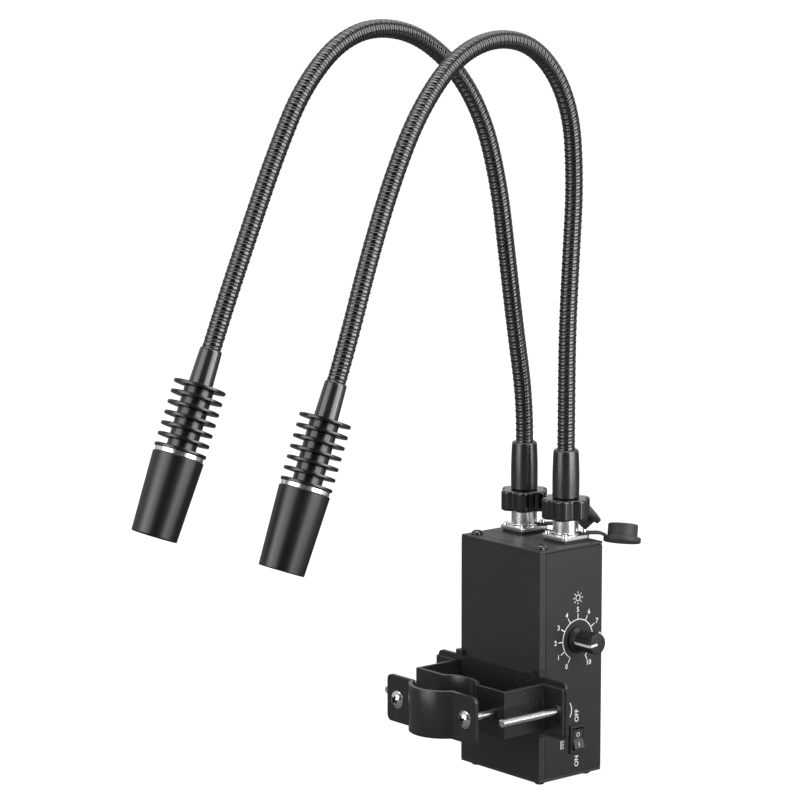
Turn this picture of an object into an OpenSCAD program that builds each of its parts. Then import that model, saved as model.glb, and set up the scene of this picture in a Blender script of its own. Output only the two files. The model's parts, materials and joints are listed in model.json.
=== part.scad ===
// Dual gooseneck illuminator: a control box on a post clamp, with two plug-in gooseneck spot lamps.
// +Z is up and +X is the way the dial panel faces. The origin is on the axis of the post, at the
// middle height of the clamp. Lengths are millimetres and angles are degrees.

/* [Case] */
// Width of the case, across the two sockets
case_w = 60; // [54:1:80]
// Depth of the case, from the clamp side to the back
case_d = 43; // [40:1:60]
// Height of the case
case_h = 120; // [110:1:160]
// Wall of the extruded case
wall = 2.5; // [2:0.25:3]
// Thickness of the top and bottom plates
plate_t = 1.5; // [1.2:0.1:2.5]
// Thickness of the dial panel
panel_t = 2; // [1.5:0.25:2.5]
// Width of the corner strip beside the dial panel
strip_w = 4; // [4:0.5:6]
// Distance from the case edges to the plate screws
screw_inset = 5.7; // [5.5:0.1:6.5]
// Diameter of the heads of the plate screws
case_screw_head_d = 6.2; // [5.5:0.1:6.6]
// How far the case sits to one side of the clamp's middle
case_shift = -3; // [-8:1:8]
// Height of the clamp's middle above the bottom of the case
clamp_height = 42; // [36:1:60]

/* [Dial panel] */
// Distance of the dial from the clamp side of the case
dial_y = 26.2; // [24:0.1:28]
// Height of the dial above the bottom of the case
dial_z = 71.3; // [64:0.1:84]
// Diameter of the skirt of the knob
knob_skirt_d = 14; // [13:0.5:18]
// Diameter of the front face of the knob
knob_face_d = 11; // [9:0.5:12]
// How far the knob stands out of the panel
knob_h = 15; // [13:0.5:20]
// Number of grip flutes round the knob
knob_flutes = 18; // [12:1:24]
// Diameter of the dimmer's shaft
shaft_d = 6; // [5:0.5:6]
// Reading of the dial, from 0 to 10
dial_reading = 1.8; // [0:0.1:10]
// Distance of the switch from the clamp side of the case
switch_y = 25.7; // [24:0.1:28]
// Height of the switch above the bottom of the case
switch_z = 19.4; // [17:0.1:24]
// Width of the switch's bezel
bezel_w = 10.5; // [10:0.5:12]
// Height of the switch's bezel
bezel_h = 15; // [14:0.5:17]
// Angle that the rocker swings through
rocker_swing = 20; // [14:1:22]
// Distance of the supply jack from the clamp side of the case
jack_y = 16; // [14:0.5:17]
// Height of the supply jack above the bottom of the case
jack_z = 35; // [33:0.5:38]
// Diameter of the supply jack's bore
jack_bore_d = 5.5; // [5:0.1:6]

/* [Clamp] */
// Diameter of the post that the clamp grips
post_d = 32; // [30:0.5:34]
// Thickness of the bracket and strap sheet
sheet_t = 2; // [1.5:0.25:2.5]
// Height of the strap and of the bracket
strap_h = 24.2; // [20:0.2:26]
// Width over the strap's ears and over the bracket's front
strap_w = 68; // [66:0.5:74]
// How far the strap's ears sit in front of the post's axis
ear_front = 9; // [5:0.5:10]
// How far the bracket's front sits behind the post's axis
bracket_front = 10; // [8:0.5:11]
// Distance from the post's axis to the case
reach = 40; // [36:1:46]
// Width over the ears of the bracket
bracket_w = 96.8; // [92:0.2:104]
// Width of the carrier plate
carrier_w = 97.6; // [92:0.2:106]
// Height of the carrier plate
carrier_h = 29.4; // [27:0.2:33]
// Spacing of the clamp screws
clamp_screw_pitch = 52; // [50:1:56]
// Length of the clamp screws under their heads
clamp_screw_len = 28; // [26:1:30]
// Spacing of the two long screws
long_screw_pitch = 88; // [84:1:90]
// Length of the long screws under their heads
long_screw_len = 41; // [35:1:50]
// Diameter of the clamp screws and the long screws
screw_d = 4; // [3:0.5:4]
// How far the strap can be loosened
strap_travel = 6; // [2:1:8]

/* [Sockets] */
// Spacing of the two sockets
socket_pitch = 31.5; // [29:0.5:36]
// Distance of the sockets from the clamp side of the case
socket_y = 30.5; // [30:0.5:32]
// Side of a socket's square flange
flange_w = 18; // [17:0.5:19]
// Spacing of the flange screws
flange_pitch = 13; // [12.5:0.25:14]
// Outer diameter of a socket's barrel
barrel_d = 13.2; // [12.5:0.1:14]
// Height of a socket's barrel above the case
barrel_h = 17; // [15:0.5:20]
// Outer diameter of a star nut
star_d = 25.5; // [23:0.5:27]
// Height of a star nut
star_h = 10.5; // [8:0.5:12]
// Height of a star nut's underside above the case
star_z = 11.5; // [11:0.5:14]
// Number of lobes of a star nut
star_lobes = 6; // [5:1:8]
// Diameter of the sleeve at the foot of a neck
sleeve_d = 12.8; // [12:0.2:14]
// Height of the sleeve above the star nut
sleeve_h = 27; // [20:1:40]

/* [Necks] */
// Length of a gooseneck, from its sleeve to its head
neck_length = 460; // [400:10:520]
// Outer diameter of a gooseneck over its ribs
neck_d = 9.1; // [8.6:0.1:9.6]
// Depth of the grooves between the ribs
rib_depth = 0.5; // [0.2:0.1:0.8]
// Bore of a gooseneck
neck_bore_d = 5.4; // [4.6:0.1:6]
// Diameter of the cable inside a gooseneck
cable_d = 3.4; // [2.6:0.1:4]
// Number of ribs on each jointed length of a gooseneck
ribs_per_link = 16; // [10:1:16]
// How far each joint of a gooseneck bends to either side
link_bend = 18; // [8:1:20]
// Heading of the right neck, seen from above
right_heading = -75; // [-80:1:-60]
// Heading of the left neck, seen from above
left_heading = -80; // [-110:1:-80]
// How far the right neck leans aside over its last jointed length
right_aside = -5.5; // [-10:0.5:10]
// How far the left neck leans aside over its last jointed length
left_aside = -3.5; // [-10:0.5:10]

/* [Heads] */
// Length of the stem above the heat sink
stem_h = 17.5; // [12:0.5:20]
// Diameter of the stem where it meets the heat sink
stem_d = 11.4; // [10:0.1:12]
// Number of cooling fins
fin_count = 7; // [5:1:9]
// Spacing of the cooling fins
fin_pitch = 5.1; // [4:0.1:6]
// Thickness of a cooling fin
fin_t = 1.2; // [1:0.1:2]
// Diameter of the cooling fins
fin_d = 24.5; // [22:0.5:27]
// Diameter of the core between the fins
core_d = 13.8; // [12:0.1:16]
// Height of the bright collar
collar_h = 2.2; // [1.5:0.1:3]
// Diameter of the bright collar
collar_d = 22.8; // [21:0.2:23.4]
// Length of the shroud
shroud_h = 38; // [30:1:50]
// Diameter of the shroud at its collar
shroud_top_d = 24.2; // [23:0.2:26]
// Diameter of the shroud at its mouth
shroud_mouth_d = 21.6; // [20.6:0.2:23]
// Wall of the shroud
shroud_wall = 1.2; // [1:0.1:1.6]
// Distance of the lens from the mouth
lens_depth = 12; // [10:0.5:18]

/* [Dust caps] */
// Diameter of a dust cap's disc
cap_disc_d = 19.2; // [18.6:0.2:21]
// Thickness of a dust cap's disc
cap_disc_t = 3; // [2:0.5:4]
// Diameter of a dust cap's cup
cup_d = 15.4; // [15:0.2:17]
// Height of a dust cap's cup
cup_h = 6.5; // [6:0.5:8]
// Width of the strap that ties a cap to its socket
tie_w = 5; // [4:0.5:6]
// Thickness of the strap that ties a cap to its socket
tie_t = 1.3; // [1:0.1:1.6]
// Heading of the right cap's strap, seen from above
right_tie_heading = 54; // [50:1:60]
// Heading of the left cap's strap, seen from above
left_tie_heading = 51; // [48:1:56]

/* [Hidden] */

// Clearances and small gaps
fit = 0.05;
slip = 0.15;
air = 0.3;
over = 1;
round_fn = 48;
$fn = round_fn;

// Case: its faces in the frame of the clamp
case_x0 = case_shift - case_w/2;
case_x1 = case_shift + case_w/2;
case_y0 = reach;
case_y1 = reach + case_d;
case_z0 = -clamp_height;
case_z1 = case_z0 + case_h;
case_mid_y = (case_y0 + case_y1)/2;
boss_d = 7.2;
boss_slip = 0.02;
case_screw_d = 2.4;
case_screw_len = 9;
case_screw_head_h = 2;
case_screw_hex_d = 2.9;
slot_rail = 1.6;
board_t = 1.6;
board_x = case_x0 + wall + 9;
board_h = case_h*0.6;
board_z = case_z0 + case_h*0.22;
rail_depth = 1.6;
rear_lip_t = 1.4;
rear_lip_h = 5;

// Dial
dial_pos_y = case_y0 + dial_y;
dial_pos_z = case_z0 + dial_z;
pot_d = 14;
pot_body_h = 8;
pot_gap = 1;
bush_d = 7;
bush_out = 3;
bush_nut_d = 10.4;
bush_nut_h = 1.6;
shaft_len = knob_h - 3;
knob_gap = 0.4;
skirt_h = 2.4;
flute_d = 1.3;
flute_depth = 0.35;
pointer_w = 1.2;
pointer_proud = 0.25;
shaft_flat = 0.8;
dial_zero = 150;
dial_step = 30;
pointer_turn = dial_zero - dial_step*dial_reading;

// Switch and jack
switch_pos_y = case_y0 + switch_y;
switch_pos_z = case_z0 + switch_z;
bezel_t = 1.4;
bezel_rim = 1.5;
switch_body_w = bezel_w - 2;
switch_body_h = bezel_h - 2.4;
switch_body_d = 12;
rocker_w = switch_body_w - 1.9;
rocker_h = switch_body_h - 2.2;
rocker_pin_d = 1.8;
rocker_pin_x = case_x1 - 0.6;
rocker_face = 2.6;
rocker_root = 3.4;
switch_pin_pitch = 4;
jack_pos_y = case_y0 + jack_y;
jack_pos_z = case_z0 + jack_z;
jack_d = 8;
jack_flange_d = 9.4;
jack_flange_t = 0.8;
jack_len = 13;
jack_pin_d = 2;
jack_nut_d = 10.5;
jack_nut_h = 2;

// Clamp
post_r = post_d/2;
strap_r = post_r + sheet_t;
strap_edge = strap_w/2;
ear_corner = 3;
bend_r = 1.2;
hole_d = screw_d + 2*slip;
nut_bore_d = screw_d + 2*fit;
nut_flat = 7;
nut_d = nut_flat/cos(30);
nut_h = 3.2;
pan_d = 9;
pan_h = 2.7;
cross_w = 1.1;
cross_l = 4.4;
cross_depth = 1.3;
ear_y = reach - sheet_t;
clinch_d = 6.4;
clinch_h = 0.4;
carrier_screw_d = 3;
carrier_screw_pitch = 30;
carrier_screw_len = 5;
lip_h = 2.6;
lip_w = 4;
lip_foot = 3;

// Sockets, above the top plate
gasket_h = 1.2;
flange_t = 2;
flange_z = gasket_h;
flange_top = flange_z + flange_t;
flange_corner = 1.6;
socket_body_d = 14.6;
socket_body_h = 7;
socket_bore_d = 10.8;
insert_gap = 3;
insert_h = 10;
pin_d = 1.2;
pin_ring_d = 5.6;
pin_count = 4;
pin_up = 3;
pin_down = 5;
flange_screw_d = 1.8;
flange_screw_len = 4.6;
flange_head_d = 3.4;
flange_head_h = 1.2;
lobe_d = 9.2;
right_star_turn = 7;
left_star_turn = 15;
valley_d = 5;
star_core_d = 19.4;
plug_collar_d = barrel_d - 0.2;
plug_collar_h = 1.8;
plug_neck_d = 10.4;
plug_shell_d = socket_bore_d - 2*fit;
plug_depth = 6;
star_lip_d = plug_neck_d + 2*fit;
sleeve_z = star_z + star_h + air;
sleeve_top_z = star_z + star_h + sleeve_h;
sleeve_taper = 1.1;
sleeve_round = 3.4;
ferrule_len = 12;
plug_top_z = sleeve_top_z - ferrule_len - air;
socket_x = socket_pitch/2;
socket_pos_y = case_y0 + socket_y;

// Necks: each list is the bend of twelve equal stretches, from the sleeve to the head
right_bends = [-0.5, -4, -0.5, 12, 37, 34, 25.5, 25.5, 16.5, 6.5, 7.5, 0];
left_bends = [12, -1.5, 0, 10, 22, 22.5, 26, 34.5, 22, 4.5, 2.5, 3.5];
links = 6;
stretches = 12;
stretch = neck_length/stretches;
link_len = neck_length/links;
neck_sides = 8;
cable_sides = 6;
bore_rings = 9;
cable_rings = 5;
link_clear = 1.6;
link_slope = tan(link_bend/2 + link_clear);
neck_r = neck_d/2;
bore_r = neck_bore_d/2;
cable_r = cable_d/2;
ferrule_d = neck_d - 0.1;
neck_foot_z = case_z1 + sleeve_top_z;

// Heads, measured along the head's own axis from the top of the stem
stem_top_d = neck_d + 1.3;
stem_round = 1;
fin_first = stem_h + fit + fin_t/2;
sink_h = fin_first + (fin_count - 1)*fin_pitch + fin_t/2;
wire_hole_d = 4;
collar_z = sink_h;
collar_wall = 2;
spigot_d = shroud_top_d - 2*shroud_wall - 2*fit;
spigot_h = 4;
shroud_z = collar_z + collar_h;
head_len = shroud_z + shroud_h;
led_board_d = 16;
led_board_t = 1.6;
led_size = 5;
led_h = 1.8;
lens_t = 4;
lens_seat_t = 1.2;
lens_seat_w = 0.8;
lens_seat_slope = 0.5;
lens_crown = 2.2;
lens_z = head_len - lens_depth;
shroud_slope = (shroud_top_d - shroud_mouth_d)/2/shroud_h;

// Dust caps
cup_wall = 1;
eyelet_d = 5.2;
tie_foot = 6.5;
right_tie_route = [[tie_t/2, 0], [1.6, -0.1], [3.2, -0.75], [5.2, -1.75]];
right_cap_shift = [13, -3.25];
right_cap_lean = 6;
right_cap_twist = -16;
left_tie_route = [[tie_t/2, 0], [1.2, 0.1], [1.8, 0.7], [2.4, 2.4], [3.2, 5.4], [4.3, 8.9], [5.7, 11.9], [7.4, 14.1], [9.2, 15], [11, 15]];
left_cap_shift = [16.4, 8.4];
left_cap_lean = 47;
left_cap_twist = 0;

// Running total of the first n values of a list
function total(v, n) = n <= 0 ? 0 : total(v, n - 1) + v[n - 1];

// Sideways and upward steps along an arc of length s that starts at angle a and turns by b
function arc_out(a, b, s) = abs(b) < 0.01 ? s*sin(a) : s*(cos(a) - cos(a + b))*180/(PI*b);
function arc_up(a, b, s) = abs(b) < 0.01 ? s*cos(a) : s*(sin(a + b) - sin(a))*180/(PI*b);

// Where stretch number n of a neck starts, as distance out and height
function stretch_start(v, n) = n <= 0 ? [0, 0] :
    stretch_start(v, n - 1) + [arc_out(total(v, n - 1), v[n - 1], stretch),
        arc_up(total(v, n - 1), v[n - 1], stretch)];

// The stretch that holds the point at distance s along a neck
function stretch_at(s) = max(0, min(stretches - 1, floor(s/stretch)));

// Angle from upright, and place, of the point at distance s along a neck
function neck_angle(v, s) = let(n = stretch_at(s)) total(v, n) + v[n]*(s/stretch - n);
function neck_point(v, s) = let(n = stretch_at(s), a = total(v, n), d = s - n*stretch, b = v[n]*d/stretch)
    stretch_start(v, n) + [arc_out(a, b, d), arc_up(a, b, d)];

// Angle and distance to one side of the point at distance s, which grow over the last jointed length
function past(s) = max(0, s - neck_length + link_len)/link_len;
function aside_angle(side, s) = (side > 0 ? right_aside : left_aside)*past(s);
function aside_shift(side, s) = (side > 0 ? right_aside : left_aside)*PI/180*past(s)*past(s)*link_len/2;

// A ring of points round the neck's centre line
function ring(side, s, r, sides) =
    let(v = side > 0 ? right_bends : left_bends, p = neck_point(v, s), a = neck_angle(v, s),
        b = aside_angle(side, s), y = aside_shift(side, s))
    [for (k = [0:sides - 1]) let(t = 360*k/sides, e = r*cos(t), f = r*sin(t))
        [p[0] + e*cos(a) - f*sin(b)*sin(a), y + f*cos(b), p[1] - e*sin(a) - f*sin(b)*cos(a)]];

// Triangles between ring j and ring j + 1, numbered from the first ring's own number
function band(first, j, sides, flip) = [for (k = [0:sides - 1])
    let(a = first + j*sides + k, b = first + j*sides + (k + 1) % sides, c = a + sides, d = b + sides)
    each (flip ? [[a, b, c], [b, d, c]] : [[a, c, b], [b, c, d]])];

// Triangles that join two rings of the same number of sides
function bridge(p, q, sides, flip) = [for (k = [0:sides - 1])
    let(a = p + k, b = p + (k + 1) % sides, c = q + k, d = q + (k + 1) % sides)
    each (flip ? [[a, b, c], [b, d, c]] : [[a, c, b], [b, c, d]])];

// Case

module case_section() {
    difference() {
        union() {
            difference() {
                translate([case_x0, case_y0]) square([case_w, case_d]);
                translate([case_x0 + wall, case_y0 + wall]) square([case_w, case_d - 2*wall]);
            }
            translate([case_x1 - strip_w, case_y0]) square([strip_w, strip_w]);
            for (x = [case_x0 + screw_inset, case_x1 - screw_inset])
                for (y = [case_y0 + screw_inset, case_y1 - screw_inset])
                    translate([x, y]) circle(d = boss_d);
            for (y = [case_y0 + wall, case_y1 - wall - rail_depth])
                for (x = [board_x - slot_rail - fit, board_x + board_t + fit])
                    translate([x, y - (y > case_mid_y ? 0 : fit)]) square([slot_rail, rail_depth + fit]);
        }
        translate([case_x1 - panel_t, case_y0 + strip_w]) square([case_w, case_d]);
        for (x = [case_x0 + screw_inset, case_x1 - screw_inset])
            for (y = [case_y0 + screw_inset, case_y1 - screw_inset])
                translate([x, y]) circle(d = case_screw_d + 2*fit);
    }
}

module housing() {
    color("#1d1e1f")
        difference() {
            translate([0, 0, case_z0 + plate_t]) linear_extrude(case_h - 2*plate_t) case_section();
            for (side = [-1, 1])
                translate([side*carrier_screw_pitch/2, case_y0 - over, 0])
                    rotate([-90, 0, 0]) cylinder(d = carrier_screw_d + 2*fit, h = max(wall + over, carrier_screw_len + fit) + over);
            for (side = [-1, 1]) at_socket(side)
                translate([0, 0, -socket_body_h - air])
                    cylinder(d = socket_body_d + 2*boss_slip, h = socket_body_h + air);
            translate([case_x1 - panel_t - pot_gap - pot_body_h - air, dial_pos_y, dial_pos_z])
                rotate([0, 90, 0]) cylinder(d = pot_d + 2*air, h = pot_body_h + pot_gap + air);
        }
}

module front_panel() {
    color("#3a3b3c")
        difference() {
            translate([case_x1 - panel_t, case_y0 + strip_w + slip, case_z0 + plate_t + fit])
                cube([panel_t, case_d - strip_w - slip, case_h - 2*plate_t - 2*fit]);
            translate([case_x1 - panel_t - over, dial_pos_y, dial_pos_z])
                rotate([0, 90, 0]) cylinder(d = bush_d + 2*slip, h = panel_t + 2*over);
            translate([case_x1 - panel_t - over, jack_pos_y, jack_pos_z])
                rotate([0, 90, 0]) cylinder(d = jack_d + 2*fit, h = panel_t + 2*over);
            translate([case_x1 - panel_t - over, switch_pos_y - switch_body_w/2 - fit,
                switch_pos_z - switch_body_h/2 - fit])
                cube([panel_t + 2*over, switch_body_w + 2*fit, switch_body_h + 2*fit]);
        }
}

module plate_outline(lift) {
    translate([case_x0, case_y0, lift]) cube([case_w, case_d, plate_t]);
}

module top_plate() {
    color("#242526")
        difference() {
            union() {
                plate_outline(case_z1 - plate_t);
                translate([case_shift - case_w/5, case_y1 - wall - fit - rear_lip_t, case_z1 - plate_t - rear_lip_h])
                    cube([case_w/2.5, rear_lip_t, rear_lip_h + plate_t/2]);
            }
            for (side = [-1, 1])
                translate([case_shift + side*(case_w/2 - screw_inset), case_y0 + screw_inset, case_z1 - plate_t - over])
                    cylinder(d = case_screw_d + 2*slip, h = plate_t + 2*over);
            for (side = [-1, 1]) translate([case_shift + side*socket_x, socket_pos_y, case_z1 - plate_t - over]) {
                cylinder(d = socket_body_d + 2*fit, h = plate_t + 2*over);
                flange_screw_places() cylinder(d = flange_screw_d + 2*fit, h = plate_t + 2*over);
            }
        }
}

module bottom_plate() {
    color("#242526")
        difference() {
            plate_outline(case_z0);
            for (x = [case_x0 + screw_inset, case_x1 - screw_inset])
                for (y = [case_y0 + screw_inset, case_y1 - screw_inset])
                    translate([x, y, case_z0 - over]) cylinder(d = case_screw_d + 2*slip, h = plate_t + 2*over);
        }
}

// A round-headed screw that points down from z = 0, with a hexagon socket
module case_screw() {
    difference() {
        union() {
            rotate_extrude()
                intersection() {
                    translate([0, -0.8]) circle(d = case_screw_head_d + 0.6);
                    square([case_screw_head_d/2, case_screw_head_h]);
                }
            translate([0, 0, -case_screw_len]) cylinder(d = case_screw_d, h = case_screw_len + fit);
        }
        translate([0, 0, case_screw_head_h*0.4]) cylinder(d = case_screw_hex_d, h = case_screw_head_h, $fn = 6);
    }
}

module case_screws() {
    color("#151515") {
        for (x = [case_x0 + screw_inset, case_x1 - screw_inset]) {
            translate([x, case_y0 + screw_inset, case_z1]) case_screw();
            for (y = [case_y0 + screw_inset, case_y1 - screw_inset])
                translate([x, y, case_z0]) mirror([0, 0, 1]) case_screw();
        }
    }
}

// The driver board slides between the rails of the case
module circuit_board() {
    board_w = case_d - 2*wall - 2*fit;
    coil_d = 12;
    coil_h = 8;
    block_w = 16;
    block_h = 10;
    color("#1f5a37")
        translate([board_x, case_y0 + wall + fit, board_z]) cube([board_t, board_w, board_h]);
    color("#303030")
        for (k = [0, 1])
            translate([board_x + board_t, case_mid_y, board_z + board_h*(0.3 + 0.35*k)])
                rotate([0, 90, 0]) cylinder(d = coil_d, h = coil_h);
    color("#3f7d4c")
        for (z = [board_z + 1, board_z + board_h - block_h - 1])
            translate([board_x + board_t, case_mid_y - block_w/2, z]) cube([block_h, block_w, block_h]);
}

// Dimmer

module potentiometer() {
    color("#8f9294")
        translate([0, dial_pos_y, dial_pos_z]) difference() {
            union() {
                translate([case_x1 - panel_t - pot_gap - pot_body_h, 0, 0])
                    rotate([0, 90, 0]) cylinder(d = pot_d, h = pot_body_h);
                translate([case_x1 - panel_t - pot_gap - fit, 0, 0])
                    rotate([0, 90, 0]) cylinder(d = bush_d + 4, h = pot_gap + fit);
                translate([case_x1 - panel_t - pot_gap - fit, 0, 0])
                    rotate([0, 90, 0]) cylinder(d = bush_d, h = panel_t + pot_gap + bush_out + fit);
                translate([case_x1, 0, 0]) rotate([0, 90, 0]) cylinder(d = bush_nut_d, h = bush_nut_h, $fn = 6);
                for (k = [-1, 0, 1])
                    translate([case_x1 - panel_t - pot_gap - pot_body_h/2, k*4 - 0.5, -pot_d/2 - 5])
                        cube([0.6, 1, 8]);
            }
            translate([case_x1 - panel_t - pot_body_h, 0, 0])
                rotate([0, 90, 0]) cylinder(d = shaft_d + 2*fit, h = pot_body_h + panel_t + bush_out + over);
        }
}

module dimmer_shaft() {
    start = case_x1 - panel_t - pot_body_h + air;
    color("#b9bcbd")
        translate([0, dial_pos_y, dial_pos_z]) rotate([pointer_turn, 0, 0]) difference() {
            translate([start, 0, 0]) rotate([0, 90, 0]) cylinder(d = shaft_d, h = case_x1 + shaft_len - start);
            translate([case_x1 + bush_out + 1, -shaft_d, shaft_d/2 - shaft_flat])
                cube([shaft_len, 2*shaft_d, shaft_d]);
        }
}

// The knob, with its axis along +X from x = 0 at the panel and its pointer towards +Z
module knob_blank() {
    difference() {
        union() {
            rotate([0, 90, 0]) rotate_extrude() polygon([
                [0, knob_gap], [knob_skirt_d/2, knob_gap], [knob_skirt_d/2, 1.2],
                [knob_face_d/2 + 0.8, skirt_h], [knob_face_d/2, skirt_h + 0.8],
                [knob_face_d/2, knob_h - 0.7], [knob_face_d/2 - 0.7, knob_h], [0, knob_h]]);
        }
        for (k = [1:knob_flutes - 2])
            rotate([360*(k + 0.5)/knob_flutes, 0, 0]) translate([skirt_h + 1.2, 0, knob_face_d/2 + flute_d/2 - flute_depth])
                rotate([0, 90, 0]) cylinder(d = flute_d, h = knob_h, $fn = 24);
    }
}

module pointer_blank(extra) {
    side_len = knob_h - skirt_h - 0.6;
    translate([skirt_h + 0.6, -pointer_w/2 - extra, knob_face_d/2 - 0.6 - extra])
        cube([side_len + pointer_proud, pointer_w + 2*extra, 0.9 + pointer_proud]);
    translate([knob_h - 0.6 - extra, -pointer_w/2 - extra, 0])
        cube([0.6 + pointer_proud + extra, pointer_w + 2*extra, knob_face_d/2]);
}

module dimmer_knob() {
    color("#191919")
        translate([case_x1, dial_pos_y, dial_pos_z]) rotate([pointer_turn, 0, 0]) difference() {
            knob_blank();
            pointer_blank(0);
            difference() {
                translate([-over, 0, 0]) rotate([0, 90, 0]) cylinder(d = shaft_d + 2*fit, h = shaft_len + air + over);
                translate([bush_out + 1.5, -shaft_d, shaft_d/2 - shaft_flat + fit])
                    cube([shaft_len, 2*shaft_d, shaft_d]);
            }
            translate([-over, 0, 0]) rotate([0, 90, 0]) cylinder(d = bush_nut_d + 0.8, h = bush_nut_h + over + air);
            translate([-over, 0, 0]) rotate([0, 90, 0]) cylinder(d = bush_d + 0.8, h = bush_out + over + air);
        }
}

module knob_pointer() {
    color("#f2f2ee")
        translate([case_x1, dial_pos_y, dial_pos_z]) rotate([pointer_turn, 0, 0]) pointer_blank(0);
}

// Switch and jack

module switch_frame() {
    cavity_w = rocker_w + 2*slip + 0.4;
    cavity_h = rocker_h + 1.2;
    color("#232323")
        translate([case_x1, switch_pos_y, switch_pos_z]) {
            difference() {
                union() {
                    rotate([0, 90, 0]) linear_extrude(bezel_t, scale = 0.94)
                        square([bezel_h, bezel_w], center = true);
                    translate([-switch_body_d, -switch_body_w/2, -switch_body_h/2])
                        cube([switch_body_d + fit, switch_body_w, switch_body_h]);
                }
                translate([-rocker_root - rocker_face - 0.6, -cavity_w/2, -cavity_h/2])
                    cube([rocker_root + rocker_face + bezel_t + over + 0.6, cavity_w, cavity_h]);
            }
            translate([rocker_pin_x - case_x1, 0, 0]) rotate([90, 0, 0])
                cylinder(d = rocker_pin_d, h = cavity_w + 0.4, center = true);
            for (k = [-1, 1])
                translate([-switch_body_d - 6, -1.5, k*switch_pin_pitch - 0.4]) cube([6.2, 3, 0.8]);
        }
}

// The rocker swings about its pin; at rest its upper half is pressed in
module rocker() {
    half = rocker_h/2;
    sink = tan(rocker_swing/2)*half;
    color("#3c3c3c")
        translate([rocker_pin_x, switch_pos_y, switch_pos_z]) difference() {
            rotate([90, 0, 0]) linear_extrude(rocker_w, center = true) polygon([
                [-1.6, half - 1.2], [rocker_face - sink + 0.4, half], [rocker_face - 0.7, 0],
                [rocker_face + sink, -half + 0.5], [0.6, -half + 0.2], [-rocker_root, -0.8], [-rocker_root, 0.8]]);
            rotate([90, 0, 0]) cylinder(d = rocker_pin_d + 2*fit, h = rocker_w + 2*over, center = true);
        }
}

module dc_jack() {
    color("#161616")
        translate([case_x1, jack_pos_y, jack_pos_z]) rotate([0, 90, 0]) {
            difference() {
                union() {
                    cylinder(d = jack_flange_d, h = jack_flange_t);
                    translate([0, 0, -jack_len]) cylinder(d = jack_d, h = jack_len + fit);
                    translate([0, 0, -panel_t - jack_nut_h]) cylinder(d = jack_nut_d, h = jack_nut_h, $fn = 6);
                }
                translate([0, 0, -jack_len + 2]) cylinder(d = jack_bore_d, h = jack_len + over);
            }
            translate([0, 0, -jack_len + 1]) cylinder(d = jack_pin_d, h = jack_len - 2);
        }
}

// Clamp

// A plate in the XZ plane with rounded corners, its front at y and its middle at the height of the clamp
module upright_plate(x0, x1, h, y, t, r) {
    translate([(x0 + x1)/2, y + t, 0]) rotate([90, 0, 0]) linear_extrude(t) difference() {
        square([x1 - x0, h], center = true);
        for (sx = [-1, 1]) for (sz = [-1, 1])
            translate([sx*(x1 - x0)/2, sz*h/2]) rotate([0, 0, sx*sz > 0 ? (sx > 0 ? 180 : 0) : (sx > 0 ? 90 : 270)])
                difference() {
                    square([r, r]);
                    translate([r, r]) circle(r = r);
                }
    }
}

// A hole along Y through everything from y0 to y1
module cross_hole(x, d, y0, y1) {
    translate([x, y1, 0]) rotate([90, 0, 0]) cylinder(d = d, h = y1 - y0);
}

module carrier_lip(sz) {
    z0 = sz > 0 ? carrier_h/2 - 0.5 : -carrier_h/2 - lip_h;
    translate([case_x1 - lip_foot, ear_y, z0]) cube([lip_foot + sheet_t, sheet_t, lip_h + 0.5]);
    translate([case_x1 + fit, ear_y, z0]) cube([sheet_t - fit, sheet_t + lip_w, lip_h + 0.5]);
    translate([case_x0 - sheet_t, ear_y, z0]) cube([lip_foot + sheet_t, sheet_t, lip_h + 0.5]);
    translate([case_x0 - sheet_t, ear_y, z0]) cube([sheet_t - fit, sheet_t + lip_w, lip_h + 0.5]);
}

module carrier_plate() {
    color("#1f1f1f")
        difference() {
            union() {
                upright_plate(-carrier_w/2, carrier_w/2, carrier_h, ear_y, sheet_t, ear_corner);
                carrier_lip(1);
                carrier_lip(-1);
            }
            for (side = [-1, 1]) {
                cross_hole(side*long_screw_pitch/2, screw_d + 2*fit, ear_y - over, case_y0 + over);
                cross_hole(side*carrier_screw_pitch/2, carrier_screw_d + 2*fit, ear_y - over, case_y0 + over);
                translate([side*carrier_screw_pitch/2, ear_y - fit, 0]) rotate([-90, 0, 0])
                    cylinder(d1 = 2*carrier_screw_d + 2*slip, d2 = carrier_screw_d, h = carrier_screw_d/2 + fit);
            }
        }
}

module carrier_screws() {
    color("#2a2a2a")
        for (side = [-1, 1])
            translate([side*carrier_screw_pitch/2, ear_y, 0]) rotate([-90, 0, 0]) difference() {
                union() {
                    cylinder(d1 = 2*carrier_screw_d, d2 = carrier_screw_d, h = carrier_screw_d/2);
                    cylinder(d = carrier_screw_d, h = sheet_t + carrier_screw_len);
                }
                for (a = [0, 90]) rotate([0, 0, a])
                    translate([-1.6, -0.4, -over]) cube([3.2, 0.8, over + 0.9]);
            }
}

module bracket_section() {
    y0 = bracket_front;
    difference() {
        union() {
            translate([-strap_edge, y0]) square([strap_w, ear_y - y0]);
            translate([-bracket_w/2, ear_y - sheet_t]) square([bracket_w, sheet_t]);
        }
        difference() {
            translate([-strap_edge + sheet_t, y0 + sheet_t])
                square([strap_w - 2*sheet_t, ear_y - y0]);
            circle(r = strap_r);
        }
        circle(r = post_r);
    }
}

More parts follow.
